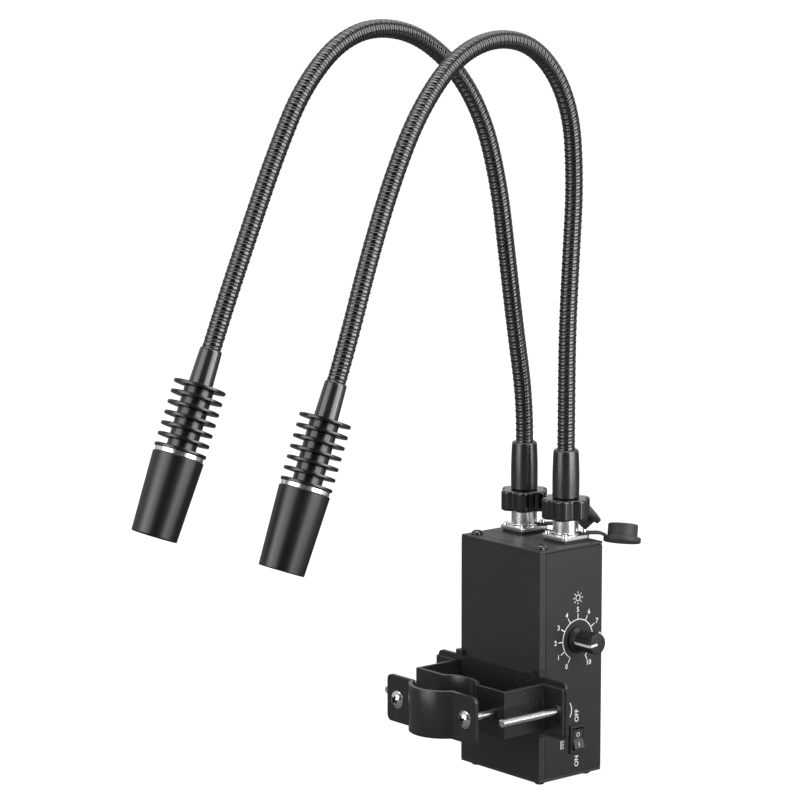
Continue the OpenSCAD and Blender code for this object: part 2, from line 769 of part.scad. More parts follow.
module hat_bracket() {
    color("#202020")
        difference() {
            union() {
                translate([0, 0, -strap_h/2]) linear_extrude(strap_h) bracket_section();
                for (side = [-1, 1])
                    translate([side*long_screw_pitch/2, ear_y - sheet_t + fit, 0])
                        rotate([90, 0, 0]) cylinder(d = clinch_d, h = clinch_h + fit);
            }
            for (side = [-1, 1]) {
                cross_hole(side*clamp_screw_pitch/2, hole_d, bracket_front - over, bracket_front + sheet_t + over);
                cross_hole(side*long_screw_pitch/2, screw_d + 2*fit, ear_y - sheet_t - over, ear_y + over);
            }
        }
}

// A screw along +Y from y = 0 at the underside of its cross-recessed head
module pan_screw(length) {
    color("#cfd1d2")
        rotate([-90, 0, 0]) difference() {
            union() {
                rotate([180, 0, 0]) rotate_extrude() intersection() {
                    translate([0, pan_h - (pan_d*pan_d/4 + pan_h*pan_h)/(2*pan_h)])
                        circle(r = (pan_d*pan_d/4 + pan_h*pan_h)/(2*pan_h), $fn = 96);
                    square([pan_d/2, pan_h]);
                }
                translate([0, 0, -fit]) cylinder(d = screw_d, h = length - 0.5 + fit);
                translate([0, 0, length - 0.5]) cylinder(d1 = screw_d, d2 = screw_d - 1, h = 0.5);
            }
            for (a = [0, 90]) rotate([0, 0, a])
                translate([-cross_l/2, -cross_w/2, -pan_h - over]) cube([cross_l, cross_w, cross_depth + over]);
        }
}

module long_screws() {
    for (side = [-1, 1])
        translate([side*long_screw_pitch/2, case_y0, 0]) rotate([0, 0, 180]) pan_screw(long_screw_len);
}

module clamp_nuts() {
    color("#c9cbcc")
        for (side = [-1, 1])
            translate([side*clamp_screw_pitch/2, bracket_front + sheet_t, 0]) rotate([-90, 0, 0]) difference() {
                cylinder(d = nut_d, h = nut_h, $fn = 6);
                translate([0, 0, -over]) cylinder(d = nut_bore_d, h = nut_h + 2*over);
            }
}

module saddle() {
    color("#262626")
        difference() {
            union() {
                translate([0, 0, -strap_h/2]) linear_extrude(strap_h) difference() {
                    circle(r = strap_r);
                    circle(r = post_r);
                    translate([-strap_w/2, -ear_front + sheet_t]) square([strap_w, strap_w]);
                }
                for (side = [-1, 1]) {
                    inner = sqrt(post_r*post_r - (ear_front - sheet_t)*(ear_front - sheet_t)) + 0.2;
                    upright_plate(side > 0 ? inner : -strap_edge, side > 0 ? strap_edge : -inner,
                        strap_h, -ear_front, sheet_t, 0.01);
                }
            }
            for (side = [-1, 1]) {
                cross_hole(side*clamp_screw_pitch/2, hole_d, -ear_front - over, -ear_front + sheet_t + over);
                for (sz = [-1, 1])
                    translate([side*strap_edge, -ear_front - over, sz*strap_h/2]) rotate([-90, 0, 0])
                        linear_extrude(sheet_t + 2*over) rotate([0, 0, side > 0 ? (sz > 0 ? 90 : 180) : (sz > 0 ? 0 : 270)])
                            difference() {
                                translate([-fit, -fit]) square([ear_corner + fit, ear_corner + fit]);
                                translate([ear_corner, ear_corner]) circle(r = ear_corner);
                            }
            }
            cylinder(r = post_r, h = strap_h + 2*over, center = true);
        }
}

module clamp_screws() {
    for (side = [-1, 1])
        translate([side*clamp_screw_pitch/2, -ear_front, 0]) pan_screw(clamp_screw_len);
}

// Sockets, plugs and star nuts

module flange_screw_places() {
    for (sx = [-1, 1]) for (sy = [-1, 1])
        translate([sx*flange_pitch/2, sy*flange_pitch/2, 0]) children();
}

module at_socket(side) {
    translate([case_shift + side*socket_x, socket_pos_y, case_z1]) children();
}

module rounded_square(w, r) {
    union() {
        square([w - 2*r, w], center = true);
        square([w, w - 2*r], center = true);
        for (sx = [-1, 1]) for (sy = [-1, 1]) translate([sx*(w/2 - r), sy*(w/2 - r)]) circle(r = r);
    }
}

module socket(side) {
    color("#d8dadb")
        at_socket(side) difference() {
            union() {
                linear_extrude(gasket_h) rounded_square(flange_w - 1.6, flange_corner);
                translate([0, 0, flange_z]) linear_extrude(flange_t) rounded_square(flange_w, flange_corner);
                cylinder(d = barrel_d, h = barrel_h);
                translate([0, 0, -socket_body_h]) cylinder(d = socket_body_d, h = socket_body_h + gasket_h);
            }
            translate([0, 0, -socket_body_h - over]) cylinder(d = socket_bore_d, h = barrel_h + socket_body_h + 2*over);
            translate([0, 0, -over]) flange_screw_places() cylinder(d = flange_screw_d + 2*fit, h = flange_top + 2*over);
        }
}

module socket_inserts() {
    color("#26231f")
        for (side = [-1, 1]) at_socket(side) {
            translate([0, 0, -socket_body_h]) cylinder(d = socket_bore_d - 2*fit, h = insert_h);
            for (k = [0:pin_count - 1]) rotate([0, 0, 45 + 360*k/pin_count])
                translate([pin_ring_d/2, 0, -socket_body_h - pin_down])
                    cylinder(d = pin_d, h = insert_h + pin_up + pin_down, $fn = 16);
        }
}

module socket_screws() {
    color("#d0d2d3")
        for (side = [-1, 1]) at_socket(side) for (sx = [-1, 1]) for (sy = [-1, 1]) {
            lift = sx > 0 && sy > 0 ? tie_t + fit : 0;
            translate([sx*flange_pitch/2, sy*flange_pitch/2, flange_top + lift])
                difference() {
                    union() {
                        cylinder(d1 = flange_head_d, d2 = flange_head_d - 0.8, h = flange_head_h);
                        translate([0, 0, -flange_screw_len - lift])
                            cylinder(d = flange_screw_d, h = flange_screw_len + lift + fit);
                    }
                    for (a = [0, 90]) rotate([0, 0, a])
                        translate([-0.9, -0.25, flange_head_h - 0.5]) cube([1.8, 0.5, 1]);
                }
        }
}

module star_nut(side) {
    lobe_ring = (star_d - lobe_d)/2;
    valley_ring = (star_d + valley_d)/2 - 2.4;
    thread_h = barrel_h - star_z + plug_collar_h + 2*fit;
    color("#141414")
        at_socket(side) rotate([0, 0, side > 0 ? right_star_turn : left_star_turn]) translate([0, 0, star_z]) difference() {
            linear_extrude(star_h) difference() {
                union() {
                    circle(d = star_core_d);
                    for (k = [0:star_lobes - 1]) rotate([0, 0, 360*k/star_lobes])
                        translate([lobe_ring, 0]) circle(d = lobe_d);
                }
                for (k = [0:star_lobes - 1]) rotate([0, 0, 360*(k + 0.5)/star_lobes])
                    translate([valley_ring, 0]) circle(d = valley_d);
            }
            translate([0, 0, -over]) cylinder(d = barrel_d + 2*fit, h = thread_h + over);
            cylinder(d = star_lip_d, h = star_h + over);
            rotate_extrude() translate([star_d/2, star_h]) circle(r = 0.8, $fn = 24);
            rotate_extrude() translate([star_d/2, 0]) circle(r = 0.8, $fn = 24);
        }
}

module plug(side) {
    shell_z = barrel_h - plug_depth;
    color("#2b2b2b")
        at_socket(side) difference() {
            union() {
                translate([0, 0, barrel_h]) cylinder(d = plug_collar_d, h = plug_collar_h);
                translate([0, 0, shell_z]) cylinder(d = plug_shell_d, h = plug_depth + fit);
                translate([0, 0, barrel_h + plug_collar_h - fit])
                    cylinder(d = plug_neck_d, h = plug_top_z - barrel_h - plug_collar_h + fit);
            }
            translate([0, 0, shell_z - over]) cylinder(d = neck_bore_d, h = sleeve_top_z);
        }
}

// The sleeve grips the plug's neck below and turns round the gooseneck's ferrule above
module sleeve(side) {
    color("#1b1b1b")
        at_socket(side) rotate_extrude() difference() {
            union() {
                polygon([[0, sleeve_z], [sleeve_d/2, sleeve_z], [sleeve_d/2 - sleeve_taper/2, sleeve_top_z - sleeve_round],
                    [0, sleeve_top_z - sleeve_round]]);
                intersection() {
                    translate([sleeve_d/2 - sleeve_taper/2 - sleeve_round, sleeve_top_z - sleeve_round]) circle(r = sleeve_round);
                    translate([0, sleeve_top_z - sleeve_round]) square([sleeve_d, sleeve_round]);
                }
                translate([0, sleeve_top_z - sleeve_round - fit])
                    square([sleeve_d/2 - sleeve_taper/2 - sleeve_round, sleeve_round + fit]);
            }
            square([plug_neck_d/2 + fit, plug_top_z + fit]);
            square([ferrule_d/2 + fit, sleeve_top_z + over]);
        }
}

// Goosenecks

module in_neck_plane(side, heading) {
    translate([case_shift + side*socket_x, socket_pos_y, neck_foot_z]) rotate([0, 0, heading]) children();
}

// One jointed length of a neck: a ribbed tube with the cable inside it
module neck_link(side, n) {
    s0 = n*link_len + (n == 0 ? air : 0);
    s1 = (n + 1)*link_len;
    slope0 = n == 0 ? 0 : link_slope;
    slope1 = n == links - 1 ? 0 : link_slope;
    low_r = neck_r - rib_depth;
    steps = 2*ribs_per_link;
    a0 = s0 + low_r*slope0;
    a1 = s1 - low_r*slope1;
    outer = [for (j = [0:steps])
        each ring(side, a0 + (a1 - a0)*j/steps, j % 2 == 0 ? low_r : neck_r, neck_sides)];
    b0 = s0 + bore_r*slope0;
    b1 = s1 - bore_r*slope1;
    inner = [for (j = [0:bore_rings - 1])
        each ring(side, b0 + (b1 - b0)*j/(bore_rings - 1), bore_r, neck_sides)];
    first = len(outer);
    faces = concat(
        [for (j = [0:steps - 1]) each band(0, j, neck_sides, false)],
        [for (j = [0:bore_rings - 2]) each band(first, j, neck_sides, true)],
        bridge(0, first, neck_sides, true),
        bridge(steps*neck_sides, first + (bore_rings - 1)*neck_sides, neck_sides, false));
    color("#202020") polyhedron(points = concat(outer, inner), faces = faces, convexity = 8);
    cable(side, s0 + cable_r*slope0 + slip, s1 - cable_r*slope1 - slip);
}

module cable(side, s0, s1) {
    points = [for (j = [0:cable_rings - 1])
        each ring(side, s0 + (s1 - s0)*j/(cable_rings - 1), cable_r, cable_sides)];
    last = (cable_rings - 1)*cable_sides;
    faces = concat(
        [for (j = [0:cable_rings - 2]) each band(0, j, cable_sides, false)],
        [[for (k = [0:cable_sides - 1]) k]],
        [[for (k = [cable_sides - 1:-1:0]) last + k]]);
    color("#4a4a4a") polyhedron(points = points, faces = faces, convexity = 6);
}

// The smooth ferrule that turns in the sleeve
module ferrule() {
    difference() {
        translate([0, 0, -ferrule_len]) cylinder(d = ferrule_d, h = ferrule_len + air - fit);
        translate([0, 0, -ferrule_len - over]) cylinder(d = neck_bore_d, h = ferrule_len + 3*over);
    }
}

module neck(side, n) {
    heading = side > 0 ? right_heading : left_heading;
    in_neck_plane(side, heading) {
        neck_link(side, n);
        if (n == 0) color("#2a2a2a") ferrule();
    }
}

// Heads

module at_head(side) {
    bends = side > 0 ? right_bends : left_bends;
    heading = side > 0 ? right_heading : left_heading;
    tip = neck_point(bends, neck_length - 0.001);
    in_neck_plane(side, heading) translate([tip[0], aside_shift(side, neck_length), tip[1]])
        rotate([0, total(bends, stretches), 0]) rotate([-aside_angle(side, neck_length), 0, 0]) children();
}

module stem(side) {
    color("#151515")
        at_head(side) difference() {
            rotate_extrude() polygon([
                [0, 0], [stem_top_d/2 - stem_round*0.6, 0], [stem_top_d/2, stem_round],
                [stem_d/2, stem_h], [0, stem_h]]);
            translate([0, 0, -over]) cylinder(d = wire_hole_d + 0.6, h = stem_h + 2*over);
        }
}

module heat_sink(side) {
    color("#1a1a1a")
        at_head(side) difference() {
            union() {
                translate([0, 0, stem_h + fit]) cylinder(d = core_d, h = sink_h - stem_h - fit);
                for (k = [0:fin_count - 1])
                    translate([0, 0, fin_first + k*fin_pitch - fin_t/2]) cylinder(d = fin_d, h = fin_t);
            }
            translate([0, 0, stem_h - over]) cylinder(d = wire_hole_d, h = sink_h);
        }
}

module collar(side) {
    color("#e6e7e8")
        at_head(side) translate([0, 0, collar_z + fit]) difference() {
            union() {
                cylinder(d = collar_d, h = collar_h - fit);
                cylinder(d = spigot_d, h = collar_h + spigot_h);
            }
            translate([0, 0, -over]) cylinder(d = led_board_d + 2*slip, h = collar_h + spigot_h + 2*over);
        }
}

module led(side) {
    color("#efefe6")
        at_head(side) translate([0, 0, sink_h + fit]) {
            cylinder(d = led_board_d, h = led_board_t);
            translate([-led_size/2, -led_size/2, led_board_t - fit]) cube([led_size, led_size, led_h]);
        }
}

module lens(side) {
    seat_r = shroud_bore(lens_z) - fit;
    dome_r = (seat_r*seat_r + lens_crown*lens_crown)/(2*lens_crown);
    color("#c8dcec")
        at_head(side) rotate_extrude() union() {
            translate([0, lens_z - lens_t + lens_crown]) square([seat_r, lens_t - lens_crown]);
            intersection() {
                translate([0, lens_z - lens_t + dome_r]) circle(r = dome_r, $fn = 96);
                translate([0, lens_z - lens_t]) square([seat_r, lens_crown + fit]);
            }
        }
}

// Inside radius of the shroud at distance z from the top of the stem
function shroud_bore(z) = shroud_top_d/2 - shroud_wall - (z - shroud_z)*shroud_slope - 0.25;

module shroud(side) {
    mouth = head_len;
    seat_z = lens_z - lens_t + lens_crown - fit;
    color("#2b2c2d")
        at_head(side) rotate_extrude() polygon([
            [shroud_top_d/2 - shroud_wall, shroud_z + fit], [shroud_top_d/2, shroud_z + fit],
            [shroud_mouth_d/2, mouth], [shroud_bore(mouth), mouth],
            [shroud_bore(lens_z), lens_z], [shroud_bore(lens_z), seat_z],
            [shroud_bore(lens_z) - lens_seat_w, seat_z - lens_seat_slope],
            [shroud_bore(lens_z) - lens_seat_w, seat_z - lens_seat_slope - lens_seat_t],
            [shroud_top_d/2 - shroud_wall, shroud_z + spigot_h + 1]]);
}

// Dust caps

// The foot of a strap: under the screw at one corner of a flange, facing along its heading
module at_tie(side) {
    heading = side > 0 ? right_tie_heading : left_tie_heading;
    at_socket(side) translate([flange_pitch/2, flange_pitch/2, flange_top + fit])
        rotate([0, 0, heading]) children();
}

module tie(side) {
    color("#2f2f2f")
        at_tie(side) difference() {
            union() {
                cylinder(d = eyelet_d, h = tie_t);
                strap_piece([[0, 0], [tie_foot - tie_t/2, 0], [tie_foot, tie_t/2], [tie_foot - tie_t/2, tie_t], [0, tie_t]]);
            }
            translate([0, 0, -over]) cylinder(d = flange_screw_d + 2*fit, h = tie_t + 2*over);
        }
}

// A strip of even thickness along a route, as an outline
function strip_side(route, off) = [for (k = [0:len(route) - 1])
    let(a = route[max(0, k - 1)], b = route[min(len(route) - 1, k + 1)], d = (b - a)/norm(b - a))
    route[k] + off*[-d[1], d[0]]];

module strip(route) {
    low = strip_side(route, 0);
    high = strip_side(route, tie_t);
    turned = [for (k = [len(high) - 1:-1:0]) high[k]];
    strap_piece(concat([[0, tie_t/2]], low, turned));
}

module strap_piece(outline) {
    translate([0, tie_w/2, 0]) rotate([90, 0, 0]) linear_extrude(tie_w) polygon(outline);
}

module dust_cap(side) {
    route = side > 0 ? right_tie_route : left_tie_route;
    place = side > 0 ? right_cap_shift : left_cap_shift;
    lean = side > 0 ? right_cap_lean : left_cap_lean;
    twist = side > 0 ? right_cap_twist : left_cap_twist;
    color("#303132")
        at_tie(side) translate([tie_foot + air, 0, 0]) difference() {
            union() {
                strip(route);
                translate([place[0], 0, place[1]]) rotate([0, lean, 0]) rotate([twist, 0, 0]) dust_cap_body(side);
            }
            translate([place[0], 0, place[1]]) rotate([0, lean, 0]) rotate([twist, 0, 0]) cup_bore(side);
        }
}

// The right cap lies with its cup up; the left one hangs with its cup towards the case
module dust_cap_body(side) {
    up = side > 0 ? 1 : -1;
    translate([0, 0, -cap_disc_t/2]) cylinder(d = cap_disc_d, h = cap_disc_t);
    translate([0, 0, up > 0 ? 0 : -cap_disc_t/2 - cup_h]) cylinder(d = cup_d, h = cup_h + cap_disc_t/2);
}

module cup_bore(side) {
    up = side > 0 ? 1 : -1;
    translate([0, 0, up > 0 ? cap_disc_t/2 : -cap_disc_t/2 - cup_h - over])
        cylinder(d = cup_d - 2*cup_wall, h = cup_h + over);
}

housing();
front_panel();
top_plate();
bottom_plate();
case_screws();
circuit_board();
potentiometer();
dimmer_shaft();
dimmer_knob();
knob_pointer();
switch_frame();
rocker();
dc_jack();
carrier_plate();
carrier_screws();
hat_bracket();
long_screws();
clamp_nuts();
saddle();
clamp_screws();
socket(-1);  // left_socket
socket(1);  // right_socket
socket_inserts();
socket_screws();
star_nut(-1);  // left_star_nut
star_nut(1);  // right_star_nut
plug(-1);  // left_plug
plug(1);  // right_plug
sleeve(-1);  // left_sleeve
sleeve(1);  // right_sleeve
neck(-1, 0);  // left_neck_1
neck(-1, 1);  // left_neck_2
neck(-1, 2);  // left_neck_3
neck(-1, 3);  // left_neck_4
neck(-1, 4);  // left_neck_5
neck(-1, 5);  // left_neck_6
neck(1, 0);  // right_neck_1
neck(1, 1);  // right_neck_2
neck(1, 2);  // right_neck_3
neck(1, 3);  // right_neck_4
neck(1, 4);  // right_neck_5
neck(1, 5);  // right_neck_6
stem(-1);  // left_stem
heat_sink(-1);  // left_heat_sink
collar(-1);  // left_collar
led(-1);  // left_led
lens(-1);  // left_lens
shroud(-1);  // left_shroud
stem(1);  // right_stem
heat_sink(1);  // right_heat_sink
collar(1);  // right_collar
led(1);  // right_led
lens(1);  // right_lens
shroud(1);  // right_shroud
tie(-1);  // left_tie
dust_cap(-1);  // left_dust_cap
tie(1);  // right_tie
dust_cap(1);  // right_dust_cap
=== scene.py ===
# %% [markdown]
# # A dual gooseneck illuminator
# The object is a bench light: a black control box on a clamp, with two goosenecks that plug into
# its top. The imported CAD model is the fixed frame for everything here, so each new piece is made where
# the CAD says, and most ride the body that the real piece moves with.

# %% Loading the frame
import json
import math
import bmesh
import bpy
from mathutils import Matrix, Vector


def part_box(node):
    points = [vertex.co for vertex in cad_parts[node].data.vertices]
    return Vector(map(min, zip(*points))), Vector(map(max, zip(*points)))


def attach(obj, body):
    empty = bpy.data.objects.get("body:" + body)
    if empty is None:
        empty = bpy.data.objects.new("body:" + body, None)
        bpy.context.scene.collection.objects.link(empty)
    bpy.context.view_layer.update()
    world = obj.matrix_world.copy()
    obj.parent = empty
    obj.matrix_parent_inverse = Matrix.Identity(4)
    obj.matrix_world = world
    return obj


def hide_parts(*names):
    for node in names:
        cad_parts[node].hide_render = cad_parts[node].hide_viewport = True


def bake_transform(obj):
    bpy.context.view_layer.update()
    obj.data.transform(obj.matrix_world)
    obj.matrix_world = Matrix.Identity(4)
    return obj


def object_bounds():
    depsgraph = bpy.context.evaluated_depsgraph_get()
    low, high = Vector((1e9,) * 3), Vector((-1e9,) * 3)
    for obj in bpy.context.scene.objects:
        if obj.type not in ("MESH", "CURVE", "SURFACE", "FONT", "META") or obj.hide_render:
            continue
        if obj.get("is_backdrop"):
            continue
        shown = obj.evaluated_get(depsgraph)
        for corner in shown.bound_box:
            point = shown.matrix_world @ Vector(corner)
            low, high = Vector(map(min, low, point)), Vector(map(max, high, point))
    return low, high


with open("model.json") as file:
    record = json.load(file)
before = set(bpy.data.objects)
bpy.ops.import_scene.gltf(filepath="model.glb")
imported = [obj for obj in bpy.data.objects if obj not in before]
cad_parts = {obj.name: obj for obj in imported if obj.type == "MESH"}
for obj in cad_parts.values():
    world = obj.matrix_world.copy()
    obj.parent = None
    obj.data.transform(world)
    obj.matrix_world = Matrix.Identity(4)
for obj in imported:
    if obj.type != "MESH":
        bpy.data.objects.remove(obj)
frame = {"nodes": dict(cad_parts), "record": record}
cad_box = [list(corner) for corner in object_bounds()]
scene = bpy.context.scene

# %% [markdown]
# Every length below is in millimetres, as on a workshop drawing, and is turned into metres once, when a
# mesh becomes a piece. The sizes that the CAD already has are read back from its nodes.

# %% Reading sizes back from the frame
MM = 0.001


def low(node):
    """Lowest corner of a CAD node, in millimetres."""
    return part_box(node)[0] / MM


def high(node):
    """Highest corner of a CAD node, in millimetres."""
    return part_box(node)[1] / MM


def middle(node):
    return (low(node) + high(node)) / 2


case_high = high("top_plate")
case_top, panel_x = case_high.z, case_high.x
print("case:", [round(v, 1) for v in case_high - low("bottom_plate")])

# %% [markdown]
# ## The camera
# The photograph was taken from in front of the case's near corner, a little above it, with a long lens.
# The camera stands at the measured place, and its three axes come from its turn, its tilt and its roll.

# %% Camera
def new_object(name, data):
    """An object that is in the scene at once."""
    holder = bpy.data.objects.new(name, data)
    scene.collection.objects.link(holder)
    return holder


CAMERA_TURN, CAMERA_TILT, CAMERA_ROLL = (math.radians(a) for a in (50.107, 9.139, -0.081))
CAMERA_PLACE = Vector((1186.2, -1020.3, 407.7)) * MM
LENS_MM = 144.0

to_camera = Vector((math.sin(CAMERA_TURN) * math.cos(CAMERA_TILT),
                    -math.cos(CAMERA_TURN) * math.cos(CAMERA_TILT), math.sin(CAMERA_TILT)))
level = Vector((math.cos(CAMERA_TURN), math.sin(CAMERA_TURN), 0))
upright = to_camera.cross(level)
camera_right = level * math.cos(CAMERA_ROLL) + upright * math.sin(CAMERA_ROLL)
camera_up = upright * math.cos(CAMERA_ROLL) - level * math.sin(CAMERA_ROLL)

camera = new_object("camera", bpy.data.cameras.new("camera"))
camera.data.lens = LENS_MM
camera.data.clip_end = 20
camera.matrix_world = Matrix((camera_right, camera_up, to_camera)).transposed().to_4x4()
camera.matrix_world.translation = CAMERA_PLACE
scene.camera = camera
print("camera at", [round(v, 3) for v in CAMERA_PLACE])

# %% [markdown]
# ## The light
# Black gloss shows the lights and not its own colour, so the lights make the picture. The room is white
# behind the object and dark on the camera's side, and two wide soft boxes stand to the left and right
# between them. That gives each round piece a broad light band on either side of a dark middle. A soft box
# above lights the top faces. The floor hides the wide boxes from the low pieces, so two narrow strips stand
# close by and draw the thin bright lines on the nuts, and a small low box lifts the clamp a little.

# %% Studio lights
STAGE_MIDDLE = Vector((0.02, -0.03, 0.16))


def soft_box(name, sideways, forward, lift, width, height, power):
    """An area light, placed by the camera's own directions and aimed at the object."""
    light = bpy.data.lights.new(name, "AREA")
    light.shape, light.size, light.size_y = "RECTANGLE", width, height
    light.energy = power
    flat_back = Vector((to_camera.x, to_camera.y, 0)).normalized()
    place = STAGE_MIDDLE + level * sideways + flat_back * forward + Vector((0, 0, lift))
    aim = (place - STAGE_MIDDLE).to_track_quat("Z", "Y")
    new_object(name, light).matrix_world = Matrix.Translation(place) @ aim.to_matrix().to_4x4()


soft_box("left_soft_box", -0.92, 0.62, 0.15, 1.0, 1.5, 12)
soft_box("right_soft_box", 0.92, 0.62, 0.2, 1.0, 1.5, 22)
soft_box("top_soft_box", 0.0, -0.1, 1.5, 1.4, 1.4, 18)
soft_box("left_strip", -0.3, 0.2, -0.03, 0.05, 0.22, 0.1)
soft_box("right_strip", 0.3, 0.2, -0.03, 0.05, 0.22, 0.14)
soft_box("low_soft_box", 0.36, 0.05, -0.17, 0.3, 0.3, 0.12)

# %% [markdown]
# The room is one world shader: a pale wall behind the object, a dark one behind the camera, and plain
# white wherever the camera looks past the object.

# %% World
def set_values(made, values):
    """Sets some inputs of a shader node."""
    for label, value in values.items():
        made.inputs[label].default_value = value


def new_node(tree, kind, values=None, **settings):
    """A new shader node with its settings and input values."""
    made = tree.nodes.new("ShaderNode" + kind)
    for label, value in settings.items():
        setattr(made, label, value)
    set_values(made, values or {})
    return made


def new_material(name):
    """A material, its node tree and its shader."""
    material = bpy.data.materials.new(name)
    material.use_nodes = True
    return material, material.node_tree, material.node_tree.nodes["Principled BSDF"]


world = bpy.data.worlds.new("studio")
world.use_nodes = True
scene.world = world
sky = world.node_tree
room = sky.nodes["Background"]
set_values(room, {"Color": (1, 1, 1, 1)})
facing = new_node(sky, "TexCoord")
front = new_node(sky, "VectorMath", {1: Vector((to_camera.x, to_camera.y, 0)).normalized()},
                 operation="DOT_PRODUCT")
wall = new_node(sky, "MapRange", {"From Min": 0.35, "From Max": -0.15, "To Min": 0.06, "To Max": 0.62},
                interpolation_type="SMOOTHSTEP")
seen = new_node(sky, "LightPath")
level_of = new_node(sky, "Mix", {"B": 1.0})
sky.links.new(facing.outputs["Generated"], front.inputs[0])
sky.links.new(front.outputs["Value"], wall.inputs["Value"])
sky.links.new(seen.outputs["Is Camera Ray"], level_of.inputs["Factor"])
sky.links.new(wall.outputs[0], level_of.inputs["A"])
sky.links.new(level_of.outputs[0], room.inputs["Strength"])
scene.view_settings.view_transform = "Standard"
print("world:", world.name)

# %% [markdown]
# The floor is a sheet of paper just under the lowest screw. It glows white for the camera only, and is a
# dull grey to everything else, so that it throws little light up.

# %% Floor
FLOOR_Z = low("case_screws").z - 0.2
FLOOR_GREY = (0.13, 0.13, 0.13, 1)
floor_mesh = bmesh.new()
bmesh.ops.create_grid(floor_mesh, x_segments=1, y_segments=1, size=30)
bmesh.ops.translate(floor_mesh, verts=floor_mesh.verts, vec=(0, 0, FLOOR_Z * MM))
floor_data = bpy.data.meshes.new("floor")
floor_mesh.to_mesh(floor_data)
floor_mesh.free()
floor = new_object("floor", floor_data)
floor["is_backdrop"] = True
paper, paper_tree, paper_shader = new_material("floor_paper")
set_values(paper_shader, {"Base Color": FLOOR_GREY, "Roughness": 0.95, "Emission Color": (1, 1, 1, 1)})
seen = new_node(paper_tree, "LightPath")
paper_tree.links.new(seen.outputs["Is Camera Ray"], paper_shader.inputs["Emission Strength"])
floor_data.materials.append(paper)
print("floor at", round(FLOOR_Z, 1), "mm")

# %% [markdown]
# ## Finishes
# A maker would name the finishes before the shapes: satin anodising, brushed anodising, black paint,
# plating, moulded plastic, rubber. What they share is that no real surface is perfectly even, so one node
# group gives every finish its cloudy handling marks and its fine grain, each at its own scale.

# %% Two shared node groups
def group_with(name, numbers, vectors, outputs):
    """A node group and its two end nodes."""
    group = bpy.data.node_groups.new(name, "ShaderNodeTree")
    for label in vectors:
        group.interface.new_socket(label, in_out="INPUT", socket_type="NodeSocketVector")
    for label, value in numbers.items():
        group.interface.new_socket(label, in_out="INPUT", socket_type="NodeSocketFloat").default_value = value
    for label in outputs:
        group.interface.new_socket(label, in_out="OUTPUT", socket_type="NodeSocketFloat")
    return group, group.nodes.new("NodeGroupInput"), group.nodes.new("NodeGroupOutput")


def link(tree, start, end):
    tree.links.new(start, end)


handled, entry, leave = group_with(
    "handled_surface", {"Cloud Scale": 30.0, "Grain Scale": 900.0, "Grain Detail": 3.0}, ["Vector"],
    ["Cloud", "Grain"])
cloud = new_node(handled, "TexNoise", {"Detail": 4, "Roughness": 0.6})
grain = new_node(handled, "TexNoise", {"Roughness": 0.65})
for noise, label in ((cloud, "Cloud"), (grain, "Grain")):
    link(handled, entry.outputs["Vector"], noise.inputs["Vector"])
    link(handled, entry.outputs[label + " Scale"], noise.inputs["Scale"])
    link(handled, noise.outputs["Fac"], leave.inputs[label])
link(handled, entry.outputs["Grain Detail"], grain.inputs["Detail"])

specks, entry, leave = group_with("dust_specks", {"Scale": 500.0, "Share": 0.06}, ["Vector"], ["Speck"])
cells = new_node(specks, "TexVoronoi", {"Randomness": 1})
pick = new_node(specks, "Math", operation="LESS_THAN")
link(specks, entry.outputs["Vector"], cells.inputs["Vector"])
link(specks, entry.outputs["Scale"], cells.inputs["Scale"])
link(specks, cells.outputs["Distance"], pick.inputs[0])
link(specks, entry.outputs["Share"], pick.inputs[1])
link(specks, pick.outputs[0], leave.inputs["Speck"])
print("node groups:", [g.name for g in bpy.data.node_groups])

# %% [markdown]
# One function then mixes a finish: a colour that wanders a little with the clouds, a roughness that
# wanders between two values, and a grain that becomes a bump. `stretch` pulls the grain into lines along
# one axis, which is what a brushing wheel does to metal.

# %% A function that mixes a finish
MIX_A, MIX_B, MIX_RESULT = 6, 7, 2  # the colour sockets of a Mix node


def tinted(colour, factor, lift=0.0):
    return tuple(min(1, c * factor + lift) for c in colour) + (1,)


